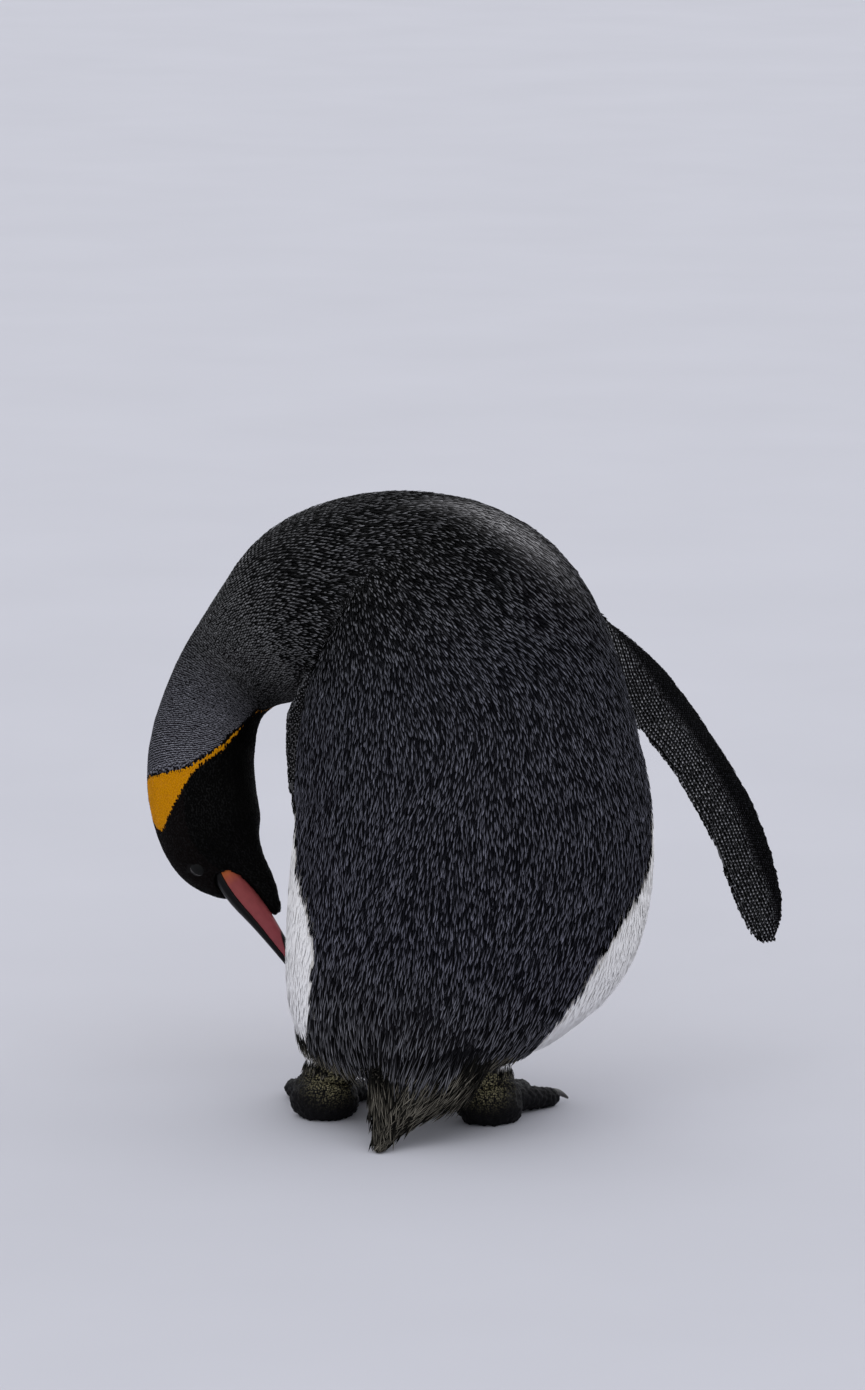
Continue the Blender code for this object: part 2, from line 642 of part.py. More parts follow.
def build():
    clear_scene()
    body = body_shell()
    named(parted_tail(body), "tail", "tail_plumage")
    pieces = [p for p in part_body(body) if len(p.data.vertices) > SMALLEST_PIECE]
    trunk = max(pieces, key=lambda p: len(p.data.vertices))
    legs = [p for p in pieces if max(v.co.z for v in p.data.vertices) < LEG_TOP + 0.005]
    rest = [p for p in pieces if p is not trunk and p not in legs]
    head = min(rest, key=lowest)
    neck = max(rest, key=lowest)
    named(trunk, "trunk", "slate_plumage")
    named(neck, "neck", "neck_plumage")
    for leg in legs:
        side = "left" if leg.data.vertices[0].co.x > THIGH_MIDDLE else "right"
        named(leg, "leg_" + side, "slate_plumage")

    upper, lower = bill_half("bill_upper", True), bill_half("bill_lower", False)
    eyes = [eyeball("eye_left", 1), eyeball("eye_right", -1)]
    for inset in (upper, lower, *eyes):
        cut_back(head, inset)
    head = named(largest_piece(head), "head", "hood_plumage")
    named(upper, "bill_upper", "bill_horn")
    named(lower, "bill_lower", "bill_plate")
    for eye, name in zip(eyes, ("eye_left", "eye_right")):
        named(eye, name, "eye")

    for name, table in (("flipper_left", FLIPPER_LEFT), ("flipper_right", FLIPPER_RIGHT)):
        paddle = flipper(name, table)
        cut_back(paddle, trunk)
        cut_back(paddle, neck)
        named(largest_piece(paddle), name, "flipper_plumage")

    for side in ANKLES:
        skin, lines = foot(side)
        leg = bpy.data.objects["leg_" + side]
        cut_back(skin, leg)
        cut_back(skin, trunk)
        for toe, line in lines.items():
            name = f"claw_{side}_{toe}"
            horn = named(claw(name, line), name, "claw_horn")
            cut_back(skin, horn)
        named(largest_piece(skin), "foot_" + side, "foot_skin")
    centre_on_origin()


build()
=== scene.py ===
# %% [markdown]
# # A king penguin, feather by feather
# The bird stands on the floor with its back to us, bends its neck to its left flank and holds its right flipper out.
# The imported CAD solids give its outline, out to the tips of the feathers. Here one skin takes the place of the solids
# of flesh, a coat of small closed vanes grows on that skin, and bill, eyes and claws are made again in more detail.

import math

import bpy
import numpy as np
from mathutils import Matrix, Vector
from mathutils.bvhtree import BVHTree
from mathutils.kdtree import KDTree


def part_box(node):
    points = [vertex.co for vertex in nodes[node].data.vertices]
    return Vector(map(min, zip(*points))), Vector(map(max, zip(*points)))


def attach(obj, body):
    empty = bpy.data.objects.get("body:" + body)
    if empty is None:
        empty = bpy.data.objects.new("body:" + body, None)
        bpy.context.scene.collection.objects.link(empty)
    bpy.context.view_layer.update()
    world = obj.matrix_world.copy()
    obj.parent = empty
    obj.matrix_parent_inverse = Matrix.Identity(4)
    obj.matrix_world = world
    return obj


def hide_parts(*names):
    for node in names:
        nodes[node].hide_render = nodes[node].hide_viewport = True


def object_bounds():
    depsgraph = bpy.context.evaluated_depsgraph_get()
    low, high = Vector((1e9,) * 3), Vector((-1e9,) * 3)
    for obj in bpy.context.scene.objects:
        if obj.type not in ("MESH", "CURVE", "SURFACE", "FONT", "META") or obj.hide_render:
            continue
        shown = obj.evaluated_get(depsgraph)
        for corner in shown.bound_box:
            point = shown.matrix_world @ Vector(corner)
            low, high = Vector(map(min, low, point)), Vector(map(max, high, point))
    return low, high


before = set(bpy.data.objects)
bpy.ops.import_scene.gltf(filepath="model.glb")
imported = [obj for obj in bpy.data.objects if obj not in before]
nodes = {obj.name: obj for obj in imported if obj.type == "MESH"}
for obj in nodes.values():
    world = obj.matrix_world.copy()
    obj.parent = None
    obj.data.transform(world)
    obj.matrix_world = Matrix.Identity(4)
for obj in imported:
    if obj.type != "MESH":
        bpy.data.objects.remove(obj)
cad_low, cad_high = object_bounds()
chance = np.random.default_rng(7)
print(len(nodes), "solids, box", [round(v, 4) for v in cad_high - cad_low])

# %% [markdown]
# Colours are easiest to choose as hex values, but shaders count light, so one function turns a hex value to linear
# numbers. A second one adds a shader node with its settings and its links: with it a material reads like a recipe.
# A third starts a new material.


# %% Helpers for every material
def linear(code):
    """A hex colour such as #c18009 as linear red, green and blue."""
    parts = [int(code[i : i + 2], 16) / 255 for i in (1, 3, 5)]
    return tuple(c / 12.92 if c < 0.04045 else ((c + 0.055) / 1.055) ** 2.4 for c in parts)


def add(tree, kind, sockets=None, stops=(), **settings):
    """Adds a node, sets its properties and colour stops, and fills each named socket with a value or a link."""
    node = tree.nodes.new(kind)
    for key, value in settings.items():
        setattr(node, key, value)
    for number, (place, code) in enumerate(stops):
        ramp = node.color_ramp.elements
        stop = ramp[number] if number < len(ramp) else ramp.new(place)
        stop.position, stop.color = place, (*linear(code), 1)
    for key, value in (sockets or {}).items():
        socket = node.inputs[key]
        if isinstance(value, bpy.types.NodeSocket):
            tree.links.new(value, socket)
        else:
            socket.default_value = value
    return node


def new_material(name, **fixed):
    """A Principled material, and the tree and shader to build its pattern on."""
    material = bpy.data.materials.new(name)
    material.use_nodes = True
    shader = material.node_tree.nodes["Principled BSDF"]
    for key, value in fixed.items():
        shader.inputs[key.replace("_", " ")].default_value = value
    return material, material.node_tree, shader


# %% [markdown]
# The camera stands behind the bird and looks down at it a little, from far enough that nothing looks stretched. The
# floor is plain and pale. A wide soft box hangs overhead and a pale room lights the rest, as on a bright grey day.

# %% Camera, floor and light
CAMERA_PLACE = (0.0272, 5.9017, 1.377)
CAMERA_TURN = (math.radians(80), 0, math.pi)
bpy.ops.object.camera_add(location=CAMERA_PLACE, rotation=CAMERA_TURN)
camera = bpy.context.object
camera.data.lens = 189.6
camera.data.sensor_width = 36
bpy.context.scene.camera = camera
bpy.context.scene.view_settings.view_transform = "Standard"

bpy.ops.mesh.primitive_plane_add(size=90, location=(0, 0, 0))
floor = bpy.context.object
floor.name = "studio_floor"
# Matt emulsion, rolled on: no gloss at all, only the slightest cloudiness, a third of a metre wide.
floor_paint, tree, shader = new_material("matt_studio_paint", Roughness=0.9)
where = add(tree, "ShaderNodeTexCoord")
cloud = add(tree, "ShaderNodeTexNoise", {"Vector": where.outputs["Object"], "Scale": 3.0, "Detail": 3.0})
greys = {0: cloud.outputs["Fac"], 6: (*linear("#bfbfc6"), 1), 7: (*linear("#c7c7ce"), 1)}
tone = add(tree, "ShaderNodeMix", greys, data_type="RGBA")
tree.links.new(tone.outputs[2], shader.inputs["Base Color"])
floor.data.materials.append(floor_paint)

world = bpy.data.worlds.new("pale_room")
world.use_nodes = True
world.node_tree.nodes["Background"].inputs["Color"].default_value = (*linear("#dfe2ea"), 1)
world.node_tree.nodes["Background"].inputs["Strength"].default_value = 0.78
bpy.context.scene.world = world

SOFT_LIGHTS = (  # name, turn and spread in degrees, strength
    ("overhead", (28, -12, 0), 120, 1.35),
    ("from_the_camera_side", (58, 0, 150), 80, 0.5),
)
for name, turn, spread, strength in SOFT_LIGHTS:
    bpy.ops.object.light_add(type="SUN", location=(0, 0, 3))
    light = bpy.context.object
    light.name = "soft_light_" + name
    light.data.angle = math.radians(spread)
    light.data.energy = strength
    light.rotation_euler = [math.radians(angle) for angle in turn]
print("camera, floor and", len(SOFT_LIGHTS), "soft lights")

# %% [markdown]
# Every marking on a bird follows its body: the dark mantle runs down the back, the orange patch sits behind the
# cheek. So each point needs two numbers of its own, how far along the body it lies and how far round from the back.
# A line through the middle of the bird, from vent to bill, gives both, with the half width of the body beside it.

# %% The line through the body
BODY_LINE = (  # x, y, z, half width of the body, and the way to the bird's back
    (0.0347, 0.0563, 0.049, 0.070, (0, 1, 0)),
    (0.0327, 0.0563, 0.058, 0.103, (0, 1, 0)),
    (0.0237, 0.0543, 0.078, 0.122, (0, 1, 0)),
    (0.0127, 0.0523, 0.110, 0.138, (0, 1, 0)),
    (0.0007, 0.0473, 0.160, 0.149, (0, 1, 0)),
    (-0.0063, 0.0353, 0.220, 0.151, (0, 1, 0)),
    (-0.0023, 0.0123, 0.279, 0.145, (0, 1, 0)),
    (0.0037, -0.0177, 0.339, 0.134, (0, 1, 0)),
    (0.0167, -0.0477, 0.380, 0.122, (0.02, 0.9, 0.4)),
    (0.0387, -0.0827, 0.396, 0.104, (0.12, 0.8, 0.55)),
    (0.0847, -0.1127, 0.397, 0.095, (0.18, 0.8, 0.55)),
    (0.1327, -0.1317, 0.380, 0.083, (0.3, 0.8, 0.5)),
    (0.1757, -0.1327, 0.350, 0.057, (0.45, 0.7, 0.5)),
    (0.2027, -0.1227, 0.319, 0.045, (0.75, 0.5, 0.35)),
    (0.2177, -0.1027, 0.274, 0.041, (0.94, 0, 0.15)),
    (0.2177, -0.0827, 0.234, 0.037, (0.95, -0.2, -0.25)),
    (0.2077, -0.0637, 0.199, 0.034, (0.83, -0.23, -0.51)),
    (0.1897, -0.0517, 0.180, 0.019, (0.80, -0.25, -0.55)),
    (0.1657, -0.0417, 0.164, 0.010, (0.75, -0.25, -0.6)),
    (0.1557, -0.0347, 0.143, 0.006, (0.75, -0.25, -0.6)),
)
STEPS_BETWEEN = 4


def unit(rows):
    return rows / np.maximum(np.linalg.norm(rows, axis=-1, keepdims=True), 1e-12)


def smooth_line(rows):
    """Points on a smooth curve through the rows."""
    padded = np.vstack([2 * rows[0] - rows[1], rows, 2 * rows[-1] - rows[-2]])
    points = []
    for a, b, c, d in zip(padded, padded[1:], padded[2:], padded[3:]):
        for t in np.linspace(0, 1, STEPS_BETWEEN, endpoint=False):
            points.append(0.5 * (2 * b + (c - a) * t + (2 * a - 5 * b + 4 * c - d) * t**2))
            points[-1] += 0.5 * (3 * b - a - 3 * c + d) * t**3
    return np.array(points + [rows[-1]])


body_line = smooth_line(np.array([(x, y, z, width, *back) for x, y, z, width, back in BODY_LINE]))
line_places = body_line[:, :3]
line_widths = body_line[:, 3]
line_ahead = unit(np.gradient(line_places, axis=0))
line_back = body_line[:, 4:] - line_ahead * (body_line[:, 4:] * line_ahead).sum(1, keepdims=True)
line_back = unit(line_back)
line_side = np.cross(line_back, line_ahead)
line_lengths = np.linalg.norm(np.diff(line_places, axis=0), axis=1)
line_along = np.concatenate([[0], np.cumsum(line_lengths)])
print("body line", round(float(line_along[-1]), 3), "m long")

# %% [markdown]
# The bent neck hangs beside the trunk, so the nearest point of the line may belong to another part of the bird. That
# is why each part only looks at its own stretch of the line.

# %% Where a place lies along the body and round it
FEATHERED = ("trunk", "neck", "head", "tail", "leg_left", "leg_right", "flipper_left", "flipper_right")
FEET = ("foot_left", "foot_right")
PARTS = FEATHERED + FEET + ("bill_upper", "bill_lower")
WHOLE_LINE = (0, 0.9)
REACHES = {"trunk": (0, 0.75), "neck": (0.36, 0.9), "head": (0.36, 0.9), "tail": (0, 0.3)}
STRETCHES = np.array([REACHES.get(name, WHOLE_LINE) for name in PARTS])  # metres along the line
PULL = 5  # how much more the nearest stretch of the line counts than the rest
SOFTEST = 1e-4
BATCH = 20000


def on_body(places, parts):
    """For each place of a part: metres along, degrees round from the back, half width of the body, way ahead."""
    found = []
    starts, ends = STRETCHES[parts].T
    for some in np.array_split(np.arange(len(places)), max(1, len(places) // BATCH)):
        square = ((places[some, None] - line_places[None]) ** 2).sum(2) / line_widths[None] ** 2
        weight = (square + SOFTEST) ** -PULL
        weight *= (line_along >= starts[some, None]) & (line_along <= ends[some, None])
        weight /= weight.sum(1, keepdims=True)
        away = places[some] - weight @ line_places
        side = (away * unit(weight @ line_side)).sum(1)
        back = (away * unit(weight @ line_back)).sum(1)
        angle = np.degrees(np.arctan2(side, back))
        found.append(np.column_stack([weight @ line_along, angle, weight @ line_widths, unit(weight @ line_ahead)]))
    found = np.vstack(found)
    return found[:, 0], found[:, 1], found[:, 2], found[:, 3:]


print("each place gets its answer from", len(line_places), "points of the line")

# %% [markdown]
# The skin could be modelled from nothing, but the solids already hold the bird's true shape. Copies of them are
# swelled by little more than half a millimetre so that they overlap, melted together by a voxel remesh, and
# smoothed: the cuts between them vanish.

# %% Helpers that copy, shape and melt solids
SWELL = 0.0006


def select_only(*pieces):
    bpy.ops.object.select_all(action="DESELECT")
    for piece in pieces:
        piece.select_set(True)
    bpy.context.view_layer.objects.active = pieces[0]


def apply_modifier(piece, kind, **settings):
    """Adds one modifier to a piece and applies it."""
    select_only(piece)
    modifier = piece.modifiers.new(kind.lower(), kind)
    for key, value in settings.items():
        setattr(modifier, key, value)
    bpy.ops.object.modifier_apply(modifier=modifier.name)


def copy_of(names, title):
    """One merged object from copies of the named solids."""
    copies = []
    for name in names:
        piece = bpy.data.objects.new(title, nodes[name].data.copy())
        bpy.context.collection.objects.link(piece)
        piece.data.materials.clear()
        select_only(piece)
        bpy.ops.object.mode_set(mode="EDIT")
        bpy.ops.mesh.select_all(action="SELECT")
        bpy.ops.mesh.remove_doubles(threshold=1e-6)
        bpy.ops.object.mode_set(mode="OBJECT")
        copies.append(piece)
    select_only(*copies)
    if len(copies) > 1:
        bpy.ops.object.join()
    joined = bpy.context.view_layer.objects.active
    joined.name = title
    return joined


def melted(names, title, voxel, rounds, swell=SWELL):
    """The named solids as one closed and smoothed shell."""
    piece = copy_of(names, title)
    if swell:
        apply_modifier(piece, "DISPLACE", strength=swell, mid_level=0)
    apply_modifier(piece, "REMESH", mode="VOXEL", voxel_size=voxel)
    apply_modifier(piece, "SMOOTH", factor=0.5, iterations=rounds)
    return piece


print("copies are swelled by", 1000 * SWELL, "mm")

# %% Skin: melt the solids of flesh together
skin = melted(FEATHERED, "skin", voxel=0.0040, rounds=5)
print("skin from the solids:", len(skin.data.polygons), "faces")

# %% [markdown]
# The skin must lie under the feathers, and their depth differs: thick on the trunk, thin on the flippers, next to
# nothing on the face. So each point of the skin first learns which solid it came from. Then a Displace modifier
# draws it in, with a vertex group that says how far.


# %% Skin: which part of the bird each point belongs to
def arrays(piece):
    """Places and triangles of a piece, as arrays."""
    mesh = piece.data
    places = np.empty(len(mesh.vertices) * 3)
    mesh.vertices.foreach_get("co", places)
    mesh.calc_loop_triangles()
    corners = np.empty(len(mesh.loop_triangles) * 3, int)
    mesh.loop_triangles.foreach_get("vertices", corners)
    return places.reshape(-1, 3), corners.reshape(-1, 3)


part_places, part_corners, part_of_face = [], [], []
for number, name in enumerate(PARTS):
    places, corners = arrays(nodes[name])
    part_corners.extend((corners + len(part_places)).tolist())
    part_places.extend(places.tolist())
    part_of_face.extend([number] * len(corners))
whole_bird = BVHTree.FromPolygons(part_places, part_corners)


def parts_at(places):
    """The number in PARTS of the solid nearest to each place."""
    return np.array([part_of_face[whole_bird.find_nearest(Vector(p))[2]] for p in places])


print("a point's part is that of the nearest of", len(part_of_face), "triangles")

# %% Skin: drawn in by the depth of the coat
FLIPPER_DEPTH, LEG_DEPTH = 0.0010, 0.0002
COAT_DEPTH = {"tail": 0.0034, "flipper_left": FLIPPER_DEPTH, "flipper_right": FLIPPER_DEPTH}
COAT_DEPTH.update({"leg_left": LEG_DEPTH, "leg_right": LEG_DEPTH})
DEPTH_ALONG = ((0.0, 0.0034), (0.40, 0.0034), (0.56, 0.0022), (0.64, 0.0012), (0.70, 0.0003), (0.80, 0.0003))
FULL_DEPTH, DEPTH_STEPS = 0.0040, 40
skin_places, skin_corners = arrays(skin)
skin_parts = parts_at(skin_places)
depths = np.array([COAT_DEPTH.get(name, 0) for name in PARTS])[skin_parts]
long_parts = np.isin(skin_parts, [PARTS.index(name) for name in ("trunk", "neck", "head")])
skin_along = on_body(skin_places[long_parts], skin_parts[long_parts])[0]
depths[long_parts] = np.interp(skin_along, *zip(*DEPTH_ALONG))
steps = np.round((depths + SWELL) / FULL_DEPTH * DEPTH_STEPS).astype(int)
group = skin.vertex_groups.new(name="coat_depth")
for step in np.unique(steps):
    group.add(np.flatnonzero(steps == step).tolist(), float(step / DEPTH_STEPS), "REPLACE")
apply_modifier(skin, "DISPLACE", strength=-FULL_DEPTH, mid_level=0, vertex_group="coat_depth")
apply_modifier(skin, "SMOOTH", factor=0.5, iterations=2)
print("coat depth from", depths.min(), "to", depths.max(), "m")

# %% [markdown]
# Head and eyes get most looks, so the mesh is cut finer there, twice over round the eyes. Each eye also gets three
# directions of its own, along the head, out of it and up across the lids, which the lids need later.

# %% Skin: where the eyes lie
HEAD = PARTS.index("head")
eye_boxes = {side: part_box("eye_" + side) for side in ("left", "right")}
EYE_CENTRES = {side: (low + high) / 2 for side, (low, high) in eye_boxes.items()}
EYE_RADIUS = (eye_boxes["left"][1] - eye_boxes["left"][0]).x / 2


def eye_distance(places):
    return np.min([np.linalg.norm(places - np.array(c), axis=1) for c in EYE_CENTRES.values()], axis=0)


def eye_axes(side):
    """The eye's centre, the way along the head, the way out of the head and the way up across the lids."""
    centre = np.array(EYE_CENTRES[side])
    along, _, _, ahead = on_body(centre[None], np.array([HEAD]))
    middle = np.array([np.interp(along[0], line_along, line_places[:, i]) for i in range(3)])
    out = unit(centre - middle)
    out = unit(out - ahead[0] * (out @ ahead[0]))
    return centre, ahead[0], out, unit(np.cross(out, ahead[0])) * (1 if side == "left" else -1)


EYES = {side: eye_axes(side) for side in EYE_CENTRES}


def lid_distance(places):
    """Metres from the middle of the nearer eye's lids."""
    fronts = [centre + out * EYE_RADIUS for centre, _, out, _ in EYES.values()]
    return np.min([np.linalg.norm(places - front, axis=1) for front in fronts], axis=0)


print("eyes of", round(2000 * EYE_RADIUS, 1), "mm at", [list(np.round(eye[0], 3)) for eye in EYES.values()])

# %% Skin: finer mesh on the face and round the eyes
FINEST_WITHIN = 2.2 * EYE_RADIUS


def refine(piece, chosen):
    """Cuts the faces that hold the chosen points in four."""
    select_only(piece)
    bpy.ops.object.mode_set(mode="EDIT")
    bpy.ops.mesh.select_all(action="DESELECT")
    bpy.ops.object.mode_set(mode="OBJECT")
    piece.data.vertices.foreach_set("select", chosen)
    bpy.ops.object.mode_set(mode="EDIT")
    bpy.ops.mesh.select_mode(type="VERT")
    bpy.ops.mesh.subdivide(number_cuts=1, smoothness=0.6)
    bpy.ops.object.mode_set(mode="OBJECT")


skin_places, skin_corners = arrays(skin)
refine(skin, parts_at(skin_places) == HEAD)
skin_places, skin_corners = arrays(skin)
refine(skin, eye_distance(skin_places) < FINEST_WITHIN)
print("skin with a finer head:", len(skin.data.polygons), "faces")

# %% [markdown]
# The feet are bare, so their skin is what shows. They are melted at a much finer size, pushed into small knobs by a
# Voronoi texture, and joined to the legs by a Boolean union. Last, one unwrap of the whole skin gives each feather
# its place on the bake map.

# %% Skin: the bare feet, joined to the legs
KNOB_SIZE, KNOB_DEPTH = 0.0042, 0.0022
feet = melted(FEET, "feet", voxel=0.0015, rounds=3, swell=0.0)
knobs = bpy.data.textures.new("knobbly_scutes", type="VORONOI")
knobs.noise_scale = KNOB_SIZE
apply_modifier(feet, "DISPLACE", texture=knobs, texture_coords="LOCAL", strength=-KNOB_DEPTH, mid_level=0.25)
apply_modifier(skin, "BOOLEAN", operation="UNION", object=feet, solver="MANIFOLD")
bpy.data.objects.remove(feet)
skin_places, skin_corners = arrays(skin)
skin_parts = parts_at(skin_places)
print("whole skin:", len(skin_corners), "triangles")

# %% Skin: an unwrap for the bake
select_only(skin)
bpy.ops.object.mode_set(mode="EDIT")
bpy.ops.mesh.select_all(action="SELECT")
bpy.ops.mesh.normals_make_consistent(inside=False)
for layer in list(skin.data.uv_layers):
    skin.data.uv_layers.remove(layer)
skin.data.uv_layers.new(name="OFBake")
bpy.ops.uv.smart_project(angle_limit=math.radians(66), island_margin=0.003)
bpy.ops.object.mode_set(mode="OBJECT")
bpy.ops.object.shade_smooth()
skin_map = np.empty(len(skin.data.loops) * 2)
skin.data.uv_layers["OFBake"].data.foreach_get("uv", skin_map)
skin_map = skin_map.reshape(-1, 2)
print("unwrap from", skin_map.min(0).round(3), "to", skin_map.max(0).round(3))

# %% [markdown]
# King penguins wear a slate mantle, a black hood and an ear patch of strong orange that narrows to a thin line down
# the side of the throat and spreads again over the breast. Each border is a short row of pairs along the body, and
# one function gives every point the colour of its feather at the root and at the tip. Skin and coat both ask it.

# %% Markings: the borders, as metres along the body and degrees round from the back
MANTLE_EDGE = {  # of the trunk's lower half, on the right and on the left
    -1: ((0.00, 52), (0.062, 50), (0.091, 47), (0.12, 53), (0.144, 62), (0.155, 69), (0.17, 77), (0.21, 86)),
    1: ((0.00, 75), (0.045, 73), (0.056, 63), (0.068, 59), (0.102, 59), (0.129, 65), (0.149, 73), (0.175, 78),
        (0.20, 82), (0.215, 90), (0.25, 97)),
}
MANTLE_ABOVE = (  # the same on both sides
    (0.30, 99), (0.36, 108), (0.46, 118), (0.54, 124), (0.575, 118), (0.588, 104), (0.597, 100), (0.609, 105),
    (0.635, 110),
)
NAPE_EDGE = (  # degrees first: where the grey of the neck ends
    (0, 0.688), (21, 0.687), (34, 0.689), (58, 0.690), (71, 0.690), (83, 0.688), (91, 0.683), (100, 0.677),
    (106, 0.670), (110, 0.660), (115, 0.650), (125, 0.9),
)
HOOD_EDGE = (  # degrees first: where the black of the head begins
    (0, 0.708), (9, 0.713), (19, 0.719), (24, 0.724), (34, 0.728), (46, 0.726), (58, 0.720), (67, 0.714),
    (75, 0.708), (86, 0.695), (95, 0.686), (104, 0.679), (111, 0.671), (116, 0.657),
)
THROAT_EDGE = ((0.560, 181), (0.575, 130), (0.590, 106), (0.603, 103), (0.638, 113), (0.657, 114))
NECK_FROM = 0.63
NAPE_STRIPE, STRIPE_FROM = 9, 0.684
CHEEK_FROM, CHEEK_ROUND = 0.70, (20, 80)
print(len(HOOD_EDGE), "points on the hood's edge and", len(NAPE_EDGE), "on the nape's")

# %% [markdown]
# No feather has one colour. Each has a dark root and a paler tip, and both change slowly along the body, so the
# tones are short tables of pairs, with a few extra pairs for borders, the tail, and a painted sheen where the shoulder
# reflects the sky.

# %% Markings: the tones
MANTLE_TONES = (  # metres along the body, colour at the root, colour at the tip
    (0.00, "#141415", "#8b877f"),
    (0.05, "#121214", "#7c7c80"),
    (0.11, "#121218", "#6f6f7b"),
    (0.28, "#0e0e13", "#65666f"),
    (0.36, "#010101", "#6c6c6f"),
    (0.46, "#010101", "#78787a"),
    (0.52, "#030303", "#7c7c7d"),
    (0.58, "#060606", "#505052"),
    (0.62, "#18181b", "#64646a"),
    (0.66, "#3a3a40", "#84848c"),
    (0.69, "#5a5a62", "#9a9aa4"),
)
SPARKLE = ((0.0, 0.15), (0.28, 0.18), (0.36, 0.5), (0.46, 0.4), (0.52, 0.0))  # metres, share of dull tips
FRONT_TONES = (
    (0.00, "#f0eff0", "#fbfafc"),
    (0.36, "#efece6", "#faf8f4"),
    (0.42, "#dcc286", "#f5e0a6"),
    (0.50, "#cf9120", "#f0b43a"),
    (0.56, "#bf7a04", "#e8a30e"),
    (0.72, "#bf7a02", "#eaa50a"),
)
HOOD_TONE = ("#020202", "#070606")
CHEEK_TONE = ("#070505", "#130d0c")
HEM_TONE = ("#070707", "#0d0d0d")
FRINGE_TONE = ("#8e867c", "#b3aca3")
# painted sheen: a pale patch that stands for the sky's reflection on the right shoulder
PAINTED_SHEEN_TONE = ("#868485", "#c4c2c3")
SHEEN_PLACE, SHEEN_LENGTH = 0.364, 0.027  # metres
SHEEN_ANGLE, SHEEN_WIDTH, SHEEN_SLANT = 54, 11, 260  # degrees, degrees, degrees for each metre
TAIL_TONE = ("#10100f", "#807b70")
FLIPPER_DARK = ("#010102", "#d4d4d8")
FLIPPER_EDGE = ("#040405", "#48484c")
FLIPPER_WHITE = ("#b9b8b6", "#e4e3e3")
FOOT_BLACK = "#0e0d10"
HEEL_OCHRE = "#c6bd92"


def tones(places, table):
    """Root and tip colours at the given places along a table of tones."""
    stops = [row[0] for row in table]
    pair = []
    for column in (1, 2):
        colours = np.array([linear(row[column]) for row in table])
        pair.append(np.column_stack([np.interp(places, stops, colours[:, i]) for i in range(3)]))
    return pair


def pair_of(tone):
    return np.array(linear(tone[0])), np.array(linear(tone[1]))


print(len(MANTLE_TONES), "tones along the mantle,", len(FRONT_TONES), "along the front")

# %% [markdown]
# A flipper's markings follow the blade: a plain dark leading edge, speckled rows behind it, and white beneath. Its
# longest, middle and shortest direction come from its own points, and two rulers give the blade's edges at stations
# from the shoulder to the tip.

# %% Markings: the flippers' own measures
STATIONS, STATION_REACH = 14, 0.022


def flipper_grid(side):
    """The flipper's own axes, its middle line and its edges, measured from the solid."""
    places, _ = arrays(nodes["flipper_" + side])
    centre = places.mean(0)
    spread = np.linalg.svd(places - centre, full_matrices=False)[2]
    down = spread[0] * (-1 if spread[0][2] > 0 else 1)
    lead = spread[1] * (-1 if spread[1][1] > 0 else 1)
    outer = np.cross(lead, down) * (1 if side == "left" else -1)
    return {"centre": centre, "down": down, "lead": lead, "outer": outer, "places": places}


def flipper_rulers(grid, rim):
    """The chord's ends at stations from shoulder to tip, and the share of it that is a dark trailing rim below."""
    away = grid["places"] - grid["centre"]
    along, across = away @ grid["down"], away @ grid["lead"]
    stations = np.linspace(along.min() + 0.004, along.max() - 0.002, STATIONS)
    low, high = [], []
    for station in stations:
        near = np.abs(along - station) < STATION_REACH
        low.append(across[near].min())
        high.append(across[near].max())
    grid.update(stations=stations, low=np.array(low), high=np.array(high), rim=rim)
    return grid


RIM_BELOW = {"left": 0.5, "right": 0.12}
FLIPPER_GRIDS = {side: flipper_rulers(flipper_grid(side), rim) for side, rim in RIM_BELOW.items()}


def on_flipper(places, grid):
    """Share of the way from shoulder to tip, and from trailing to leading edge."""
    away = places - grid["centre"]
    along = away @ grid["down"]
    stations = grid["stations"]
    low, high = np.interp(along, stations, grid["low"]), np.interp(along, stations, grid["high"])
    across = (away @ grid["lead"] - low) / (high - low)
    return (along - stations[0]) / (stations[-1] - stations[0]), across


for side, grid in FLIPPER_GRIDS.items():
    print(side, "flipper", round(float(np.ptp(grid["stations"])), 3), "m between its end stations")

# %% [markdown]
# How far a place lies inside the mantle decides most of its markings. It could be painted by hand, but a distance
# from the border, in metres, also gives the black hem along it and the pale fringe of the flank feathers.


# %% Markings: how deep in the mantle a place lies
BULGE = 0.85  # the way round the body, against a circle of the same half width


def blend(pair, other, share):
    """Moves root and tip colours towards another pair by a share for each point."""
    for mine, theirs in zip(pair, pair_of(other)):
        mine += (theirs - mine) * share[:, None]


def mantle_depth(along, angle, width):
    """Metres from the mantle's edge, measured round the body: positive on the mantle."""
    edges = [np.interp(along, *zip(*(MANTLE_EDGE[side] + MANTLE_ABOVE))) for side in (-1, 1)]
    inside = np.radians(np.where(angle < 0, *edges) - np.abs(angle)) * width * BULGE
    below_head = np.interp(np.abs(angle), *zip(*NAPE_EDGE)) - along
    return np.where(along > NECK_FROM, np.minimum(inside, below_head), inside)


def painted_sheen_at(along, angle):
    """How much of the painted sheen, where the right shoulder reflects the sky, each place has."""
    ridge = angle + SHEEN_ANGLE + (SHEEN_PLACE - along) * SHEEN_SLANT
    return np.exp(-((ridge / SHEEN_WIDTH) ** 2) - ((along - SHEEN_PLACE) / SHEEN_LENGTH) ** 2)


print("the gleam on the shoulder is", round(2000 * SHEEN_LENGTH), "mm long")
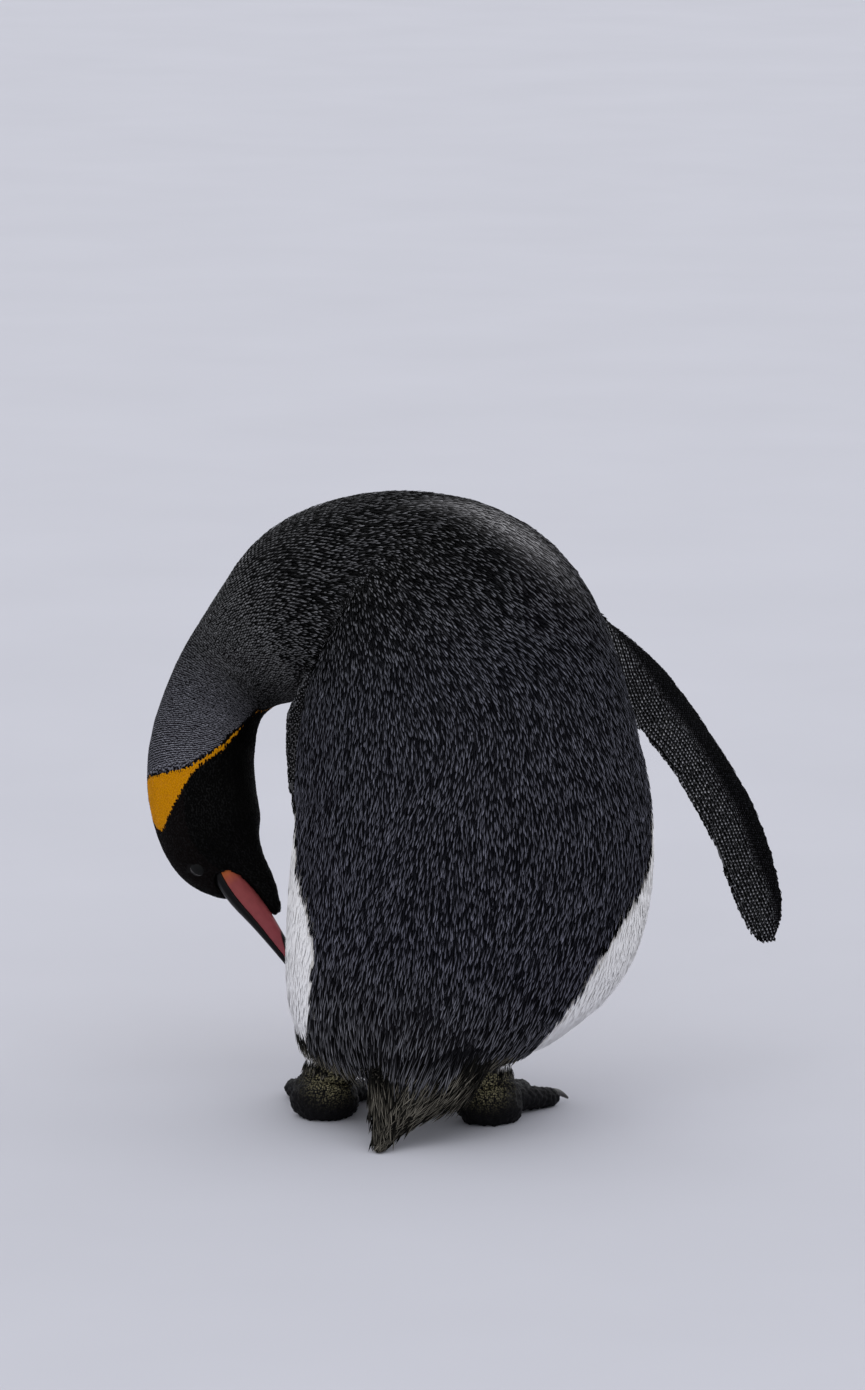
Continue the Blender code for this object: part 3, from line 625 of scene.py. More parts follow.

# %% [markdown]
# On the body the order of the layers matters, as in painting: first the front's and the mantle's own tones, then the
# fringe, the painted sheen of the sky on the shoulder, the brown of the tail and the black hem, and the hood over all
# of them.

# %% Markings: trunk, neck, head and tail
WOBBLE_ALONG, WOBBLE = (0.3, 0.6), (0.0012, 0.0001)  # metres: the border is ragged low down and sharp above
HOOD_WOBBLE = 0.6
FRINGE_BELOW, FRINGE_WIDTH, FRINGE_SHARE = 0.3, 0.005, 0.8
PAINTED_SHEEN_SHARE = 0.9
TAIL_BROWN_BELOW = 0.05
HEM_FROM, HEM_ALONG = 0.12, (0.15, 0.3, 0.6, 0.66)
HEM_WIDTHS = (0.004, 0.006, 0.0018, 0.0020)


def body_plumage(places, parts):
    """Root and tip colours of the feather at each place on trunk, neck, head and tail."""
    along, angle, width, _ = on_body(places, parts)
    wobble = chance.normal(0, 1, len(places)) * np.interp(along, WOBBLE_ALONG, WOBBLE)
    round_way = np.abs(angle)
    inside = mantle_depth(along, angle, width) + wobble
    hood = along + HOOD_WOBBLE * wobble > np.interp(round_way, *zip(*HOOD_EDGE))
    hood |= round_way > np.interp(along, *zip(*THROAT_EDGE))
    front = tones(along, FRONT_TONES)
    blend(front, FRINGE_TONE, np.clip(1 + inside / FRINGE_WIDTH, 0, 1) * (along < FRINGE_BELOW) * FRINGE_SHARE)
    mantle = tones(along, MANTLE_TONES)
    # painted sheen: the sky's reflection on the right shoulder, laid into the mantle's colours
    blend(mantle, PAINTED_SHEEN_TONE, PAINTED_SHEEN_SHARE * painted_sheen_at(along, angle))
    blend(mantle, TAIL_TONE, np.clip(1 - places[:, 2] / TAIL_BROWN_BELOW, 0, 1))
    hem = (inside < np.interp(along, HEM_ALONG, HEM_WIDTHS)) & (along > HEM_FROM)
    blend(mantle, HEM_TONE, hem.astype(float))
    dark = (inside > 0) | (parts == PARTS.index("tail"))
    pair = [np.where(dark[:, None], one, other) for one, other in zip(mantle, front)]
    nape = (round_way < NAPE_STRIPE) & (along > STRIPE_FROM)
    blend(pair, HOOD_TONE, (hood | nape).astype(float))
    cheek = (hood | nape) & (along > CHEEK_FROM) & (round_way > CHEEK_ROUND[0]) & (round_way < CHEEK_ROUND[1])
    blend(pair, CHEEK_TONE, cheek.astype(float))
    return pair


print("the mantle's black hem is up to", 1000 * max(HEM_WIDTHS), "mm wide")

# %% [markdown]
# A flipper has only three tones: speckled black outside, a plain dark leading edge, and white beneath, with a dark
# rim. After it comes the one function that skin and coat both ask.

# %% Markings: flippers, and the whole bird
PLAIN_FROM, PLAIN_BLEND = 0.45, 0.2  # shares of the chord, from the trailing edge
WHITE_TO, WHITE_TIP = 0.85, 0.93  # shares of the chord and of the length
BENEATH = -0.5  # against the flipper's outer side


def flipper_plumage(places, normals, grid):
    """Dark outside with a plain leading edge, white below except round the rim."""
    share, across = on_flipper(places, grid)
    pair = [np.tile(tone, (len(places), 1)) for tone in pair_of(FLIPPER_DARK)]
    blend(pair, FLIPPER_EDGE, np.clip((across - PLAIN_FROM) / PLAIN_BLEND, 0, 1))
    white = (normals @ grid["outer"] < BENEATH) & (across > grid["rim"]) & (across < WHITE_TO) & (share < WHITE_TIP)
    blend(pair, FLIPPER_WHITE, white.astype(float))
    return pair


def plumage(places, parts, normals):
    """Root and tip colours of the feather at each place."""
    root, tip = body_plumage(places, parts)
    for side, grid in FLIPPER_GRIDS.items():
        mine = parts == PARTS.index("flipper_" + side)
        root[mine], tip[mine] = flipper_plumage(places[mine], normals[mine], grid)
    return root, tip


print("markings for", len(PARTS), "parts")

# %% [markdown]
# A material can't ask a Python function, but it can read what is stored on the mesh. So colours and numbers are
# written to named attributes, one value for each point, and an Attribute node reads them back.


# %% Helpers that write attributes
def set_colours(piece, name, colours):
    """Writes one linear colour per point into a named attribute."""
    attribute = piece.data.attributes.new(name, "FLOAT_COLOR", "POINT")
    rows = np.ones((len(colours), 4), np.float32)
    rows[:, :3] = colours
    attribute.data.foreach_set("color", rows.ravel())


def set_numbers(piece, name, values):
    """Writes one number per point into a named attribute."""
    attribute = piece.data.attributes.new(name, "FLOAT", "POINT")
    attribute.data.foreach_set("value", values.astype(np.float32))


def point_normals(piece):
    normals = np.empty(len(piece.data.vertices) * 3, np.float32)
    piece.data.vertices.foreach_get("normal", normals)
    return normals.reshape(-1, 3).astype(float)


print("colours, numbers and normals, one for each point")

# %% [markdown]
# Between the feathers the skin shows as a dark ground, so it takes nearly the colour of their roots. Legs and feet
# are bare and black, and each heel has a pad that is marked by its place and by facing backwards.

# %% Markings on the skin
TIP_ON_SKIN = 0.15
LEGS = [PARTS.index(name) for name in ("leg_left", "leg_right")]
PAD_HEIGHT, PAD_HALF_HEIGHT, PAD_HALF_WIDTH = 0.034, 0.012, 0.017
PAD_FACING = 3  # how sharply the pad ends where the skin stops facing backwards
BARE = LEGS + [PARTS.index(name) for name in FEET]
skin_normals = point_normals(skin)
skin_root, skin_tip = plumage(skin_places, skin_parts, skin_normals)
skin_colours = skin_root + TIP_ON_SKIN * (skin_tip - skin_root)
bare = np.isin(skin_parts, BARE)
skin_colours[bare] = linear(FOOT_BLACK)
leg_middles = np.array([(low + high) / 2 for low, high in (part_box("leg_left"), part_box("leg_right"))])
beside = np.abs(skin_places[:, None, 0] - leg_middles[:, 0]).min(1)
pad = np.exp(-((beside / PAD_HALF_WIDTH) ** 2) - ((skin_places[:, 2] - PAD_HEIGHT) / PAD_HALF_HEIGHT) ** 2)
pad *= bare * np.clip(skin_normals[:, 1] * PAD_FACING, 0, 1)
set_colours(skin, "plumage", skin_colours)
set_numbers(skin, "bare", bare)
set_numbers(skin, "pad", pad)
print("bare skin on", int(bare.sum()), "points of", len(bare))

# %% [markdown]
# Under the feathers the skin only has to be dark or pale enough that no gap shows. On the feet it is bare leather:
# small round scutes, each about two millimetres wide, drawn by a Voronoi pattern, with a yellow heel pad.

# %% Material: skin
# Bare penguin skin is dry, matt leather: a wide, faint gloss on the knobs, and dark seams between the scutes.
SCUTE = 0.0021
skin_leather, tree, shader = new_material("bird_skin", Roughness=0.6)
shader.inputs["Specular IOR Level"].default_value = 0.09
where = add(tree, "ShaderNodeTexCoord")
base = add(tree, "ShaderNodeAttribute", attribute_name="plumage")
naked = add(tree, "ShaderNodeAttribute", attribute_name="bare")
heel = add(tree, "ShaderNodeAttribute", attribute_name="pad")
cells = {"Vector": where.outputs["Object"], "Scale": 1 / SCUTE, "Randomness": 0.8}
crack = add(tree, "ShaderNodeTexVoronoi", cells, feature="DISTANCE_TO_EDGE")
pebble = add(tree, "ShaderNodeTexVoronoi", {**cells, "Scale": 1.3 / SCUTE})
gap = add(tree, "ShaderNodeMapRange", {"Value": crack.outputs["Distance"], "From Max": 0.16, "To Min": 0.25})
dome = add(tree, "ShaderNodeMapRange", {"Value": pebble.outputs["Distance"], "From Min": 0.62, "From Max": 0.2})
yellow = add(tree, "ShaderNodeMath", {0: dome.outputs["Result"], 1: heel.outputs["Fac"]}, operation="MULTIPLY")
dyes = {0: yellow.outputs["Value"], 6: base.outputs["Color"], 7: (*linear(HEEL_OCHRE), 1)}
ochre = add(tree, "ShaderNodeMix", dyes, data_type="RGBA")
shade = add(tree, "ShaderNodeMix", {0: naked.outputs["Fac"], 2: 1.0, 3: gap.outputs["Result"]})
dyed = add(tree, "ShaderNodeVectorMath", {0: ochre.outputs[2], 3: shade.outputs[0]}, operation="SCALE")
tree.links.new(dyed.outputs["Vector"], shader.inputs["Base Color"])
height = add(tree, "ShaderNodeMath", {0: gap.outputs["Result"], 1: naked.outputs["Fac"]}, operation="MULTIPLY")
bump = add(tree, "ShaderNodeBump", {"Height": height.outputs["Value"], "Strength": 0.6, "Distance": 0.0004})
tree.links.new(bump.outputs["Normal"], shader.inputs["Normal"])
skin.data.materials.clear()
skin.data.materials.append(skin_leather)
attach(skin, "root")
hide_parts(*FEATHERED, *FEET)
print("scutes", 1000 * SCUTE, "mm wide on the bare skin")

# %% [markdown]
# One contour feather is a thin keeled vane, narrow at the root, widest past its middle and pointed at the tip. A
# three-sided cone is almost that shape already: it is flattened, given one or two rings by bisecting, and bowed so
# that the tip leans back to the body. The large vane has sixteen triangles and the small one ten, because tens of
# thousands of them are copied.


# %% The vane that every feather is copied from
def model_vane(title, rings, keel_height):
    """A closed vane of unit length along Y, with a ring at each (place, half width, rise) and a keel on top."""
    bpy.ops.object.select_all(action="DESELECT")
    bpy.ops.mesh.primitive_cone_add(
        vertices=3, radius1=0.5, radius2=0, depth=1, location=(0, 0.5, 0), rotation=(-math.pi / 2, 0, 0)
    )
    vane = bpy.context.object
    vane.name = title
    bpy.ops.object.transform_apply(location=True, rotation=True, scale=True)
    bpy.ops.object.mode_set(mode="EDIT")
    for place, _, _ in rings[1:-1]:
        bpy.ops.mesh.select_all(action="SELECT")
        bpy.ops.mesh.bisect(plane_co=(0, place, 0), plane_no=(0, 1, 0))
    bpy.ops.mesh.select_all(action="SELECT")
    bpy.ops.mesh.quads_convert_to_tris()
    bpy.ops.object.mode_set(mode="OBJECT")
    for point in vane.data.vertices:
        place, half, rise = min(rings, key=lambda ring: abs(ring[0] - point.co.y))
        reach = max(abs(point.co.x), 1e-9)
        corner = 0 if reach < 1e-3 else math.copysign(1, point.co.x)
        keel = 0.0 if corner else 1.0
        point.co = (corner * half, place, rise + keel * half * keel_height)
    return vane


print("a vane has one length, three corners round it and a keel")

# %% [markdown]
# Four vanes are enough. The large one covers the back, a smoother copy of it the belly, the small one face and
# flippers, and the blunt one gives the neck its broad pale bars.

# %% The four vanes
# The pale tip is the feather's own colour; kept to the keel with dark sides, it is also a painted ridge highlight.
RIM_SHARE = 0.04  # how much of the tip colour reaches the sides of a vane
TIP_TONE = ((0, 0), (0.38, 0.05), (0.78, 1), (1, 0.7))  # share of the length, share of the tip colour
LARGE_RINGS = ((0, 0.16, 0), (0.38, 0.42, 0.035), (0.78, 0.46, 0.045), (1, 0, 0.0))
SMALL_RINGS = ((0, 0.30, 0), (0.62, 0.50, 0.04), (1, 0, 0.0))
BLUNT_RINGS = ((0, 0.40, 0), (0.84, 0.54, 0.04), (1, 0, 0.0))


def template(vane, rim_share=RIM_SHARE, tilt=0.16):
    """Points, triangles, the share of tip colour at each point and how unevenly such vanes lie."""
    points, corners = arrays(vane)
    keel = np.abs(points[:, 0]) < 1e-4
    share = np.interp(points[:, 1], *zip(*TIP_TONE)) * np.where(keel, 1, rim_share)
    bpy.data.objects.remove(vane)
    return points, corners, share, tilt


LARGE = template(model_vane("vane_large", LARGE_RINGS, 0.30))
SMOOTH = template(model_vane("vane_smooth", LARGE_RINGS, 0.05), tilt=0.02)
SMALL = template(model_vane("vane_small", SMALL_RINGS, 0.30))
BLUNT = template(model_vane("vane_blunt", BLUNT_RINGS, 0.15), rim_share=1.0, tilt=0.05)
print("vanes of", len(LARGE[1]), "and", len(SMALL[1]), "triangles")

# %% [markdown]
# A real penguin carries nine to twelve contour feathers on each square centimetre, and more on the face. Their roots
# are strewn by chance over the skin and thinned until no two stand closer than the spacing of that part.

# %% Where feathers grow
skin_loops = np.empty(len(skin.data.loop_triangles) * 3, int)
skin.data.loop_triangles.foreach_get("loops", skin_loops)
skin_loops = skin_loops.reshape(-1, 3)
tri_points = skin_places[skin_corners]
tri_areas = 0.5 * np.linalg.norm(
    np.cross(tri_points[:, 1] - tri_points[:, 0], tri_points[:, 2] - tri_points[:, 0]), axis=1
)
tri_parts = skin_parts[skin_corners[:, 0]]
tri_middles = tri_points.mean(1)
tri_along, tri_angle, tri_width, _ = on_body(tri_middles, tri_parts)
SPACING = (  # metres along the body, metres between roots
    (0.00, 0.0021), (0.10, 0.0023), (0.36, 0.0023), (0.46, 0.0021), (0.56, 0.0017), (0.68, 0.0015), (0.76, 0.0013),
)
TAIL_SPACING = 0.0019
OVERSAMPLE = 4.0
TAIL = PARTS.index("tail")
body_parts = [PARTS.index(name) for name in ("trunk", "neck", "head", "tail")]
tri_spacing = np.interp(tri_along, *zip(*SPACING))
tri_spacing[tri_parts == TAIL] = TAIL_SPACING


def scattered(chosen, spacing, excess):
    """Chance places on the chosen triangles, so many times as many as the spacing asks for."""
    weight = np.where(chosen, tri_areas / spacing**2, 0)
    count = int(excess * weight.sum())
    pick = chance.choice(len(weight), count, p=weight / weight.sum())
    first, second = chance.random((2, count))
    over = first + second > 1
    first[over], second[over] = 1 - first[over], 1 - second[over]
    shares = np.column_stack([1 - first - second, first, second])[:, :, None]
    return pick, shares, (tri_points[pick] * shares).sum(1)


def settled(pick, shares, places):
    """What a feather needs to know of its root: place, normal, part, place on the map."""
    normals = unit((skin_normals[skin_corners[pick]] * shares).sum(1))
    return places, normals, tri_parts[pick], (skin_map[skin_loops[pick]] * shares).sum(1)


def strew(chosen, spacing):
    """Roots on the chosen triangles by chance, no two closer than the spacing."""
    pick, shares, places = scattered(chosen, spacing, OVERSAMPLE)
    count = len(pick)
    tree = KDTree(count)
    for i, place in enumerate(places):
        tree.insert(place, i)
    tree.balance()
    open_spot = np.ones(count, bool)
    for i in range(count):
        if open_spot[i]:
            for _, j, _ in tree.find_range(places[i], spacing[pick[i]]):
                if j > i:
                    open_spot[j] = False
    return settled(pick[open_spot], shares[open_spot], places[open_spot])


print(len(tri_areas), "triangles of skin to grow feathers on,", round(float(tri_areas.sum()), 3), "square metres")

# %% [markdown]
# On the neck chance isn't enough: the small feathers there stand in rings, and their pale tips draw fine lines. So
# far more places are strewn than are needed, each is given the number of its nearest ring and of its place in the
# ring, and only the best place for each pair of numbers is kept.

# %% Feathers in rings round the neck
ROW_STEPS = ((0.40, 0.0030), (0.50, 0.0027), (0.57, 0.0022), (0.64, 0.0018), (0.70, 0.0016))
FEATHERS_ROUND, ROW_EXCESS = 146, 9.0
ROWS_FROM, ROWS_TO = 0.43, 0.685
BARS_FROM, BARS_BLUR = 0.56, 0.012
COUNT_STEP = 0.001
row_places = np.arange(0.40, 0.70, COUNT_STEP)
row_numbers = np.cumsum(COUNT_STEP / np.interp(row_places, *zip(*ROW_STEPS)))


def in_rows(chosen):
    """Roots in rings round the neck, each ring half a feather on from the last."""
    pick, shares, places = scattered(chosen, np.interp(tri_along, *zip(*ROW_STEPS)), ROW_EXCESS)
    along, angle, _, _ = on_body(places, tri_parts[pick])
    number = np.interp(along, row_places, row_numbers)
    row = np.round(number)
    turn = angle / 360 * FEATHERS_ROUND + row % 2 / 2
    column = np.round(turn)
    order = np.argsort(np.hypot(number - row, turn - column))
    _, first = np.unique(np.column_stack([row, column])[order], axis=0, return_index=True)
    best = order[first]
    return settled(pick[best], shares[best], places[best])


print(int(np.interp((ROWS_FROM, ROWS_TO), row_places, row_numbers) @ (-1, 1)), "rings of feathers on the neck")

# %% [markdown]
# Every feather points from the head towards the tail, lies almost flat and differs a little from its neighbours.
# Copying and turning objects one by one would take minutes, so the points of all the copies are worked out at once,
# from the roots, the way each feather points, its size and how far it leans out.

# %% Growing a coat: all points of all vanes
BOW = 0.35  # how far the tip of a feather leans back to the skin
LIFT_OFF_FLOOR, FLATTENED = 0.0008, 0.0004  # metres: lowest place of a vane, and its height where it lies flat


def vane_points(vane, roots, normals, flow, length, width, lean):
    """All points of the copies of a vane, each copy leaning up from the skin by its own angle."""
    points, _, _, tilt = vane
    along = unit(flow - normals * (flow * normals).sum(1, keepdims=True))
    turn = np.radians(lean)[:, None]
    forward = along * np.cos(turn) + normals * np.sin(turn)
    up = normals * np.cos(turn) - along * np.sin(turn)
    roll = chance.normal(0, tilt, len(roots))[:, None]
    side = np.cross(forward, up)
    side, up = side * np.cos(roll) + up * np.sin(roll), up * np.cos(roll) - side * np.sin(roll)
    x = points[None, :, 0:1] * width[:, None, None] * side[:, None]
    y = points[None, :, 1:2] * length[:, None, None] * forward[:, None]
    z = points[None, :, 2:3] * width[:, None, None] * up[:, None]
    bow = BOW * points[None, :, 1:2] ** 2 * (length * np.sin(turn[:, 0]))[:, None, None] * normals[:, None]
    places = roots[:, None] + x + y + z - bow
    places[:, :, 2] = np.maximum(places[:, :, 2], LIFT_OFF_FLOOR + FLATTENED * points[None, :, 2])
    return places


print("feathers stay", 1000 * LIFT_OFF_FLOOR, "mm off the floor")

# %% [markdown]
# Thousands of separate objects would be slow, so the copies of one group become one mesh, written in bulk. The
# triangles of the first copy are numbered on for each next one.


# %% Growing a coat: one mesh of all the copies
def mesh_of_copies(name, places, corners):
    """A mesh with the same triangles for each copy, and the numbers of its corners in order."""
    mesh = bpy.data.meshes.new(name)
    count, size = places.shape[:2]
    loops = (corners[None] + (np.arange(count) * size)[:, None, None]).reshape(-1)
    mesh.vertices.add(count * size)
    mesh.vertices.foreach_set("co", places.reshape(-1).astype(np.float32))
    mesh.loops.add(len(loops))
    mesh.loops.foreach_set("vertex_index", loops.astype(np.int32))
    mesh.polygons.add(len(loops) // 3)
    mesh.polygons.foreach_set("loop_start", np.arange(0, len(loops), 3, dtype=np.int32))
    mesh.update(calc_edges=True)
    return mesh, loops


print("copies are joined in bulk")

# %% [markdown]
# Last, the piece gets two maps and its colours: one patch for each feather on the bake map, the vane's own flat
# outline on a second map that the barbs are drawn from, and a colour for each point from dark root to pale tip.

# %% Growing a coat: a finished piece
PATCH = 0.003  # width of a feather's patch on the bake map


def coat_piece(name, vane, roots, normals, flow, length, width, lean, colours, spots):
    """One piece of coat: the copies of a vane with their maps and colours."""
    points, corners, share, _ = vane
    places = vane_points(vane, roots, normals, flow, length, width, lean)
    mesh, loops = mesh_of_copies(name, places, corners)
    root, tip = colours
    shade = root[:, None] + share[None, :, None] * (tip - root)[:, None]
    patch = spots[:, None] + (points[None, :, :2] - (0, 0.5)) * PATCH
    mesh.uv_layers.new(name="OFBake").data.foreach_set("uv", patch.reshape(-1, 2)[loops].ravel())
    vane_map = np.broadcast_to(points[None, :, :2] + (0.5, 0), patch.shape)
    mesh.uv_layers.new(name="vane").data.foreach_set("uv", vane_map.reshape(-1, 2)[loops].ravel())
    piece = bpy.data.objects.new(name, mesh)
    bpy.context.collection.objects.link(piece)
    set_colours(piece, "plumage", shade.reshape(-1, 3))
    mesh.uv_layers.active = mesh.uv_layers["OFBake"]
    mesh.polygons.foreach_set("use_smooth", np.zeros(len(mesh.polygons), bool))
    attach(piece, "root")
    print(name, len(roots), "feathers,", len(mesh.polygons), "triangles")
    return piece


print("a feather's patch on the bake map is", PATCH, "of its width")

# %% [markdown]
# Feathers are keratin, as nails and horn are. What the eye gets from one is its soft comb of barbs, running slantwise
# from the shaft, and almost no gloss on the dark ones. The real barbs are far too fine to show, so about eight are
# drawn to a vane. The dark feathers have black sides and a pale tip, the white ones are pale all over.


# %% Materials: five kinds of feather
BARB_TURNS = 50.0  # radians along a vane, which makes about eight barbs


def plumage_material(name, roughness, gloss, rim_level=1.0, root_level=1.0, groove=0.86, relief=0.25):
    """Keratin vanes: the levels darken their sides and roots, groove and relief draw the barbs."""
    material, tree, shader = new_material(name, Roughness=roughness)
    shader.inputs["Specular IOR Level"].default_value = gloss
    base = add(tree, "ShaderNodeAttribute", attribute_name="plumage")
    across = add(tree, "ShaderNodeUVMap", uv_map="vane")
    split = add(tree, "ShaderNodeSeparateXYZ", {"Vector": across.outputs["UV"]})
    middle = add(tree, "ShaderNodeMath", {0: split.outputs["X"], 1: 0.5}, operation="SUBTRACT")
    spread = add(tree, "ShaderNodeMath", {0: middle.outputs["Value"]}, operation="ABSOLUTE")
    slant = add(tree, "ShaderNodeMath", {0: split.outputs["Y"], 1: spread.outputs["Value"]}, operation="SUBTRACT")
    line = add(tree, "ShaderNodeMath", {0: slant.outputs["Value"], 1: BARB_TURNS}, operation="MULTIPLY")
    barbs = add(tree, "ShaderNodeMath", {0: line.outputs["Value"]}, operation="SINE")
    level = add(tree, "ShaderNodeMapRange", {"Value": barbs.outputs["Value"], "From Min": -1.0, "To Min": groove})
    # rim darkens the vane's sides: painted shade beside the keel's painted highlight
    rim = {"Value": spread.outputs["Value"], "From Min": 0.05, "From Max": 0.3, "To Min": 1.0, "To Max": rim_level}
    rim = add(tree, "ShaderNodeMapRange", rim)
    root = {"Value": split.outputs["Y"], "From Min": 0.68, "From Max": 0.84, "To Min": root_level}
    root = add(tree, "ShaderNodeMapRange", root)
    part = add(tree, "ShaderNodeMath", {0: rim.outputs["Result"], 1: root.outputs["Result"]}, operation="MULTIPLY")
    shades = {0: part.outputs["Value"], 1: level.outputs["Result"]}
    all_of_it = add(tree, "ShaderNodeMath", shades, operation="MULTIPLY")
    dyes = {0: base.outputs["Color"], 3: all_of_it.outputs["Value"]}
    dyed = add(tree, "ShaderNodeVectorMath", dyes, operation="SCALE")
    tree.links.new(dyed.outputs["Vector"], shader.inputs["Base Color"])
    bump = add(tree, "ShaderNodeBump", {"Height": barbs.outputs["Value"], "Strength": relief, "Distance": 0.00008})
    tree.links.new(bump.outputs["Normal"], shader.inputs["Normal"])
    return material


# Slate keratin is full of dark pigment: dull black sides, and a soft grey streak along the shaft, the feather's own
# pale tip narrowed to the keel as a painted ridge highlight.
feather_dark = plumage_material("slate_feather_keratin", 0.7, 0.02, rim_level=0.3)
# Barred keratin is black to two thirds of its length, so that only a pale bar shows of each feather.
feather_barred = plumage_material("barred_feather_keratin", 0.7, 0.02, root_level=0.10)
# The flipper's scales are hard and matt, each with a very small pale tip on black.
feather_scale = plumage_material("flipper_scale_keratin", 0.7, 0.015, rim_level=0.06, root_level=0.10)
# White keratin has no pigment: its barbs hardly show, and it has a little of the gloss of a fingernail.
feather_pale = plumage_material("white_feather_keratin", 0.7, 0.15, groove=0.97, relief=0.06)
# Hood and cheek are short and dense as velvet, a shade smoother than the back.
feather_hood = plumage_material("hood_feather_keratin", 0.5, 0.02)
print("five feather materials")

# %% [markdown]
# Now the coat of trunk, neck, head and tail. Some feathers are special: those over the tops of the legs are short,
# those behind and beneath the vent are as brown as the tail, on the shoulders many have a dull tip, and those of the
# upper neck are barred. They are told apart by where their roots lie.

# %% Body coat: the roots and their tones
LEG_MIDDLES = leg_middles[:, :2]
LEG_REACH, LEG_TOP = 0.046, 0.066  # metres
VENT_HEIGHT, VENT_BEFORE = 0.075, 0.045
CROTCH, VENT_HALF, HEM_HEIGHT = 0.045, 0.094, 0.10
PALE_FROM = 0.25  # brightest channel of a root that counts as pale
LID_BARE = 0.0046  # no feather nearer than this to the middle of the lids
DULL_LEVEL, BRIGHTEST = 0.06, 2
BARS_INSIDE = 0.0026  # metres from the mantle's edge where the bars begin
on_trunk = np.isin(tri_parts, body_parts)
ringed = on_trunk & (tri_along > ROWS_FROM) & (tri_along < ROWS_TO)
ringed &= mantle_depth(tri_along, tri_angle, tri_width) > 0
grown = zip(strew(on_trunk & ~ringed, tri_spacing), in_rows(ringed))
roots, normals, parts, spots = [np.concatenate(both) for both in grown]
clear = lid_distance(roots) > LID_BARE
roots, normals, parts, spots = roots[clear], normals[clear], parts[clear], spots[clear]
along, angle, width, ahead = on_body(roots, parts)
root_tone, tip_tone = plumage(roots, parts, normals)
from_leg = np.linalg.norm(roots[:, None, :2] - LEG_MIDDLES, axis=2).min(1)
over_leg = (from_leg < LEG_REACH) & (roots[:, 2] < LEG_TOP)
from_middle = np.abs(roots[:, 0] - LEG_MIDDLES[:, 0].mean())
over_leg &= from_middle > CROTCH
behind = (roots[:, 2] < VENT_HEIGHT) & (roots[:, 1] > LEG_MIDDLES[:, 1].mean() - VENT_BEFORE)
behind &= from_middle < VENT_HALF
root_tone[behind], tip_tone[behind] = pair_of(TAIL_TONE)
pale = root_tone.max(1) > PALE_FROM
# where the painted sheen lies, the tips are not dulled
dull = chance.random(len(roots)) < np.interp(along, *zip(*SPARKLE)) * (1 - painted_sheen_at(along, angle))
bright = np.minimum(chance.lognormal(-0.05, 0.3, len(roots)), BRIGHTEST) * np.where(dull, DULL_LEVEL, 1)
tip_tone = root_tone + (tip_tone - root_tone) * np.where(pale, 1, bright)[:, None]
depth_in = mantle_depth(along, angle, width)
ordered = (along > ROWS_FROM) & (depth_in > 0)
barred = (along > BARS_FROM + chance.normal(0, BARS_BLUR, len(roots))) & (depth_in > BARS_INSIDE)
print(len(roots), "roots on trunk, neck, head and tail,", int(barred.sum()), "of them barred")


# %% [markdown]
# The lie runs from the head to the tail. It is drawn together towards the tail's tip, hangs straight down over the
# feet, and over the bent shoulders sweeps to the bird's right. Slow waves ruffle neighbours the same way, and a
# little chance turns each feather by itself.

# %% Body coat: the lie
TAIL_TIP = np.array((0.0705, 0.2035, 0.002))
FAN_REACH, FAN_BLEND, FAN_FROM = 0.165, 0.105, 0.06  # metres
HANG_HEIGHT, HANG_BLEND, HANG_PULL = 0.075, 0.02, 1.2
SKIRT_HALF, SKIRT_BLEND, SKIRT_HEIGHT, SKIRT_FROM = 0.070, 0.03, 0.09, 0.03
ORDERLY = 0.25  # how much of the chance is left to feathers that stand in rings
SWEEP_ALONG = ((0.20, 0), (0.30, 0.55), (0.42, 0.6), (0.47, 0))
SWEEP_ROUND = ((-100, 0.3), (-70, 1), (-20, 1), (10, 0.6), (40, 0))
SKIRT_SHARE = 0.75  # how much of the hang the feathers between the legs give up
WAVE, WAVE_TURN, OWN_TURN = 0.02, 9, 6  # metres, degrees, degrees


def ripple(places, size):
    """A slow wave over the body, from -1 to 1, that ruffles neighbouring feathers the same way."""
    waves = chance.normal(0, 1 / size, (5, 3))
    phases = chance.uniform(0, 2 * math.pi, 5)
    return np.sin(places @ waves.T + phases).mean(1) * 1.6


def across_skin(ways):
    """Directions laid flat on the skin at their roots."""
    return unit(ways - normals * (ways * normals).sum(1, keepdims=True))


to_tip = TAIL_TIP - roots
tip_distance = np.linalg.norm(to_tip, axis=1)
drawn = np.clip((FAN_REACH - tip_distance) / FAN_BLEND, 0, 1) * (roots[:, 1] > FAN_FROM)
drawn[parts == TAIL] = 1.0
drawn = drawn**2 * (3 - 2 * drawn)
hanging = np.clip((HANG_HEIGHT - roots[:, 2]) / HANG_BLEND, 0, 1) * (1 - drawn)
skirt = np.clip((SKIRT_HALF - from_middle) / SKIRT_BLEND, 0, 1) * ~pale
skirt *= (roots[:, 1] > SKIRT_FROM) & (roots[:, 2] < SKIRT_HEIGHT)
hanging *= 1 - SKIRT_SHARE * skirt
lie = -ahead * (1 - drawn)[:, None] + unit(to_tip) * drawn[:, None]
lie[:, 2] -= HANG_PULL * hanging
swept = np.interp(along, *zip(*SWEEP_ALONG)) * np.interp(angle, *zip(*SWEEP_ROUND))
lie -= swept[:, None] * np.cross(normals, ahead)
stray = np.where(ordered, ORDERLY, 1.0)
turned = np.radians(ripple(roots, WAVE) * WAVE_TURN + chance.normal(0, OWN_TURN, len(roots)) * stray)[:, None]
flow = across_skin(lie)
flow = flow * np.cos(turned) + np.cross(normals, flow) * np.sin(turned)
print(int((drawn > 0.5).sum()), "feathers drawn to the tail's tip,", int((hanging > 0.5).sum()), "hanging")

# %% [markdown]
# On the trunk a feather shows about 14 mm of its length, on the face two. Tables along the body give length, width
# and the angle at which a feather leans out, and each is varied a little. A feather whose tip would reach out of the
# bird's own box is cut short.

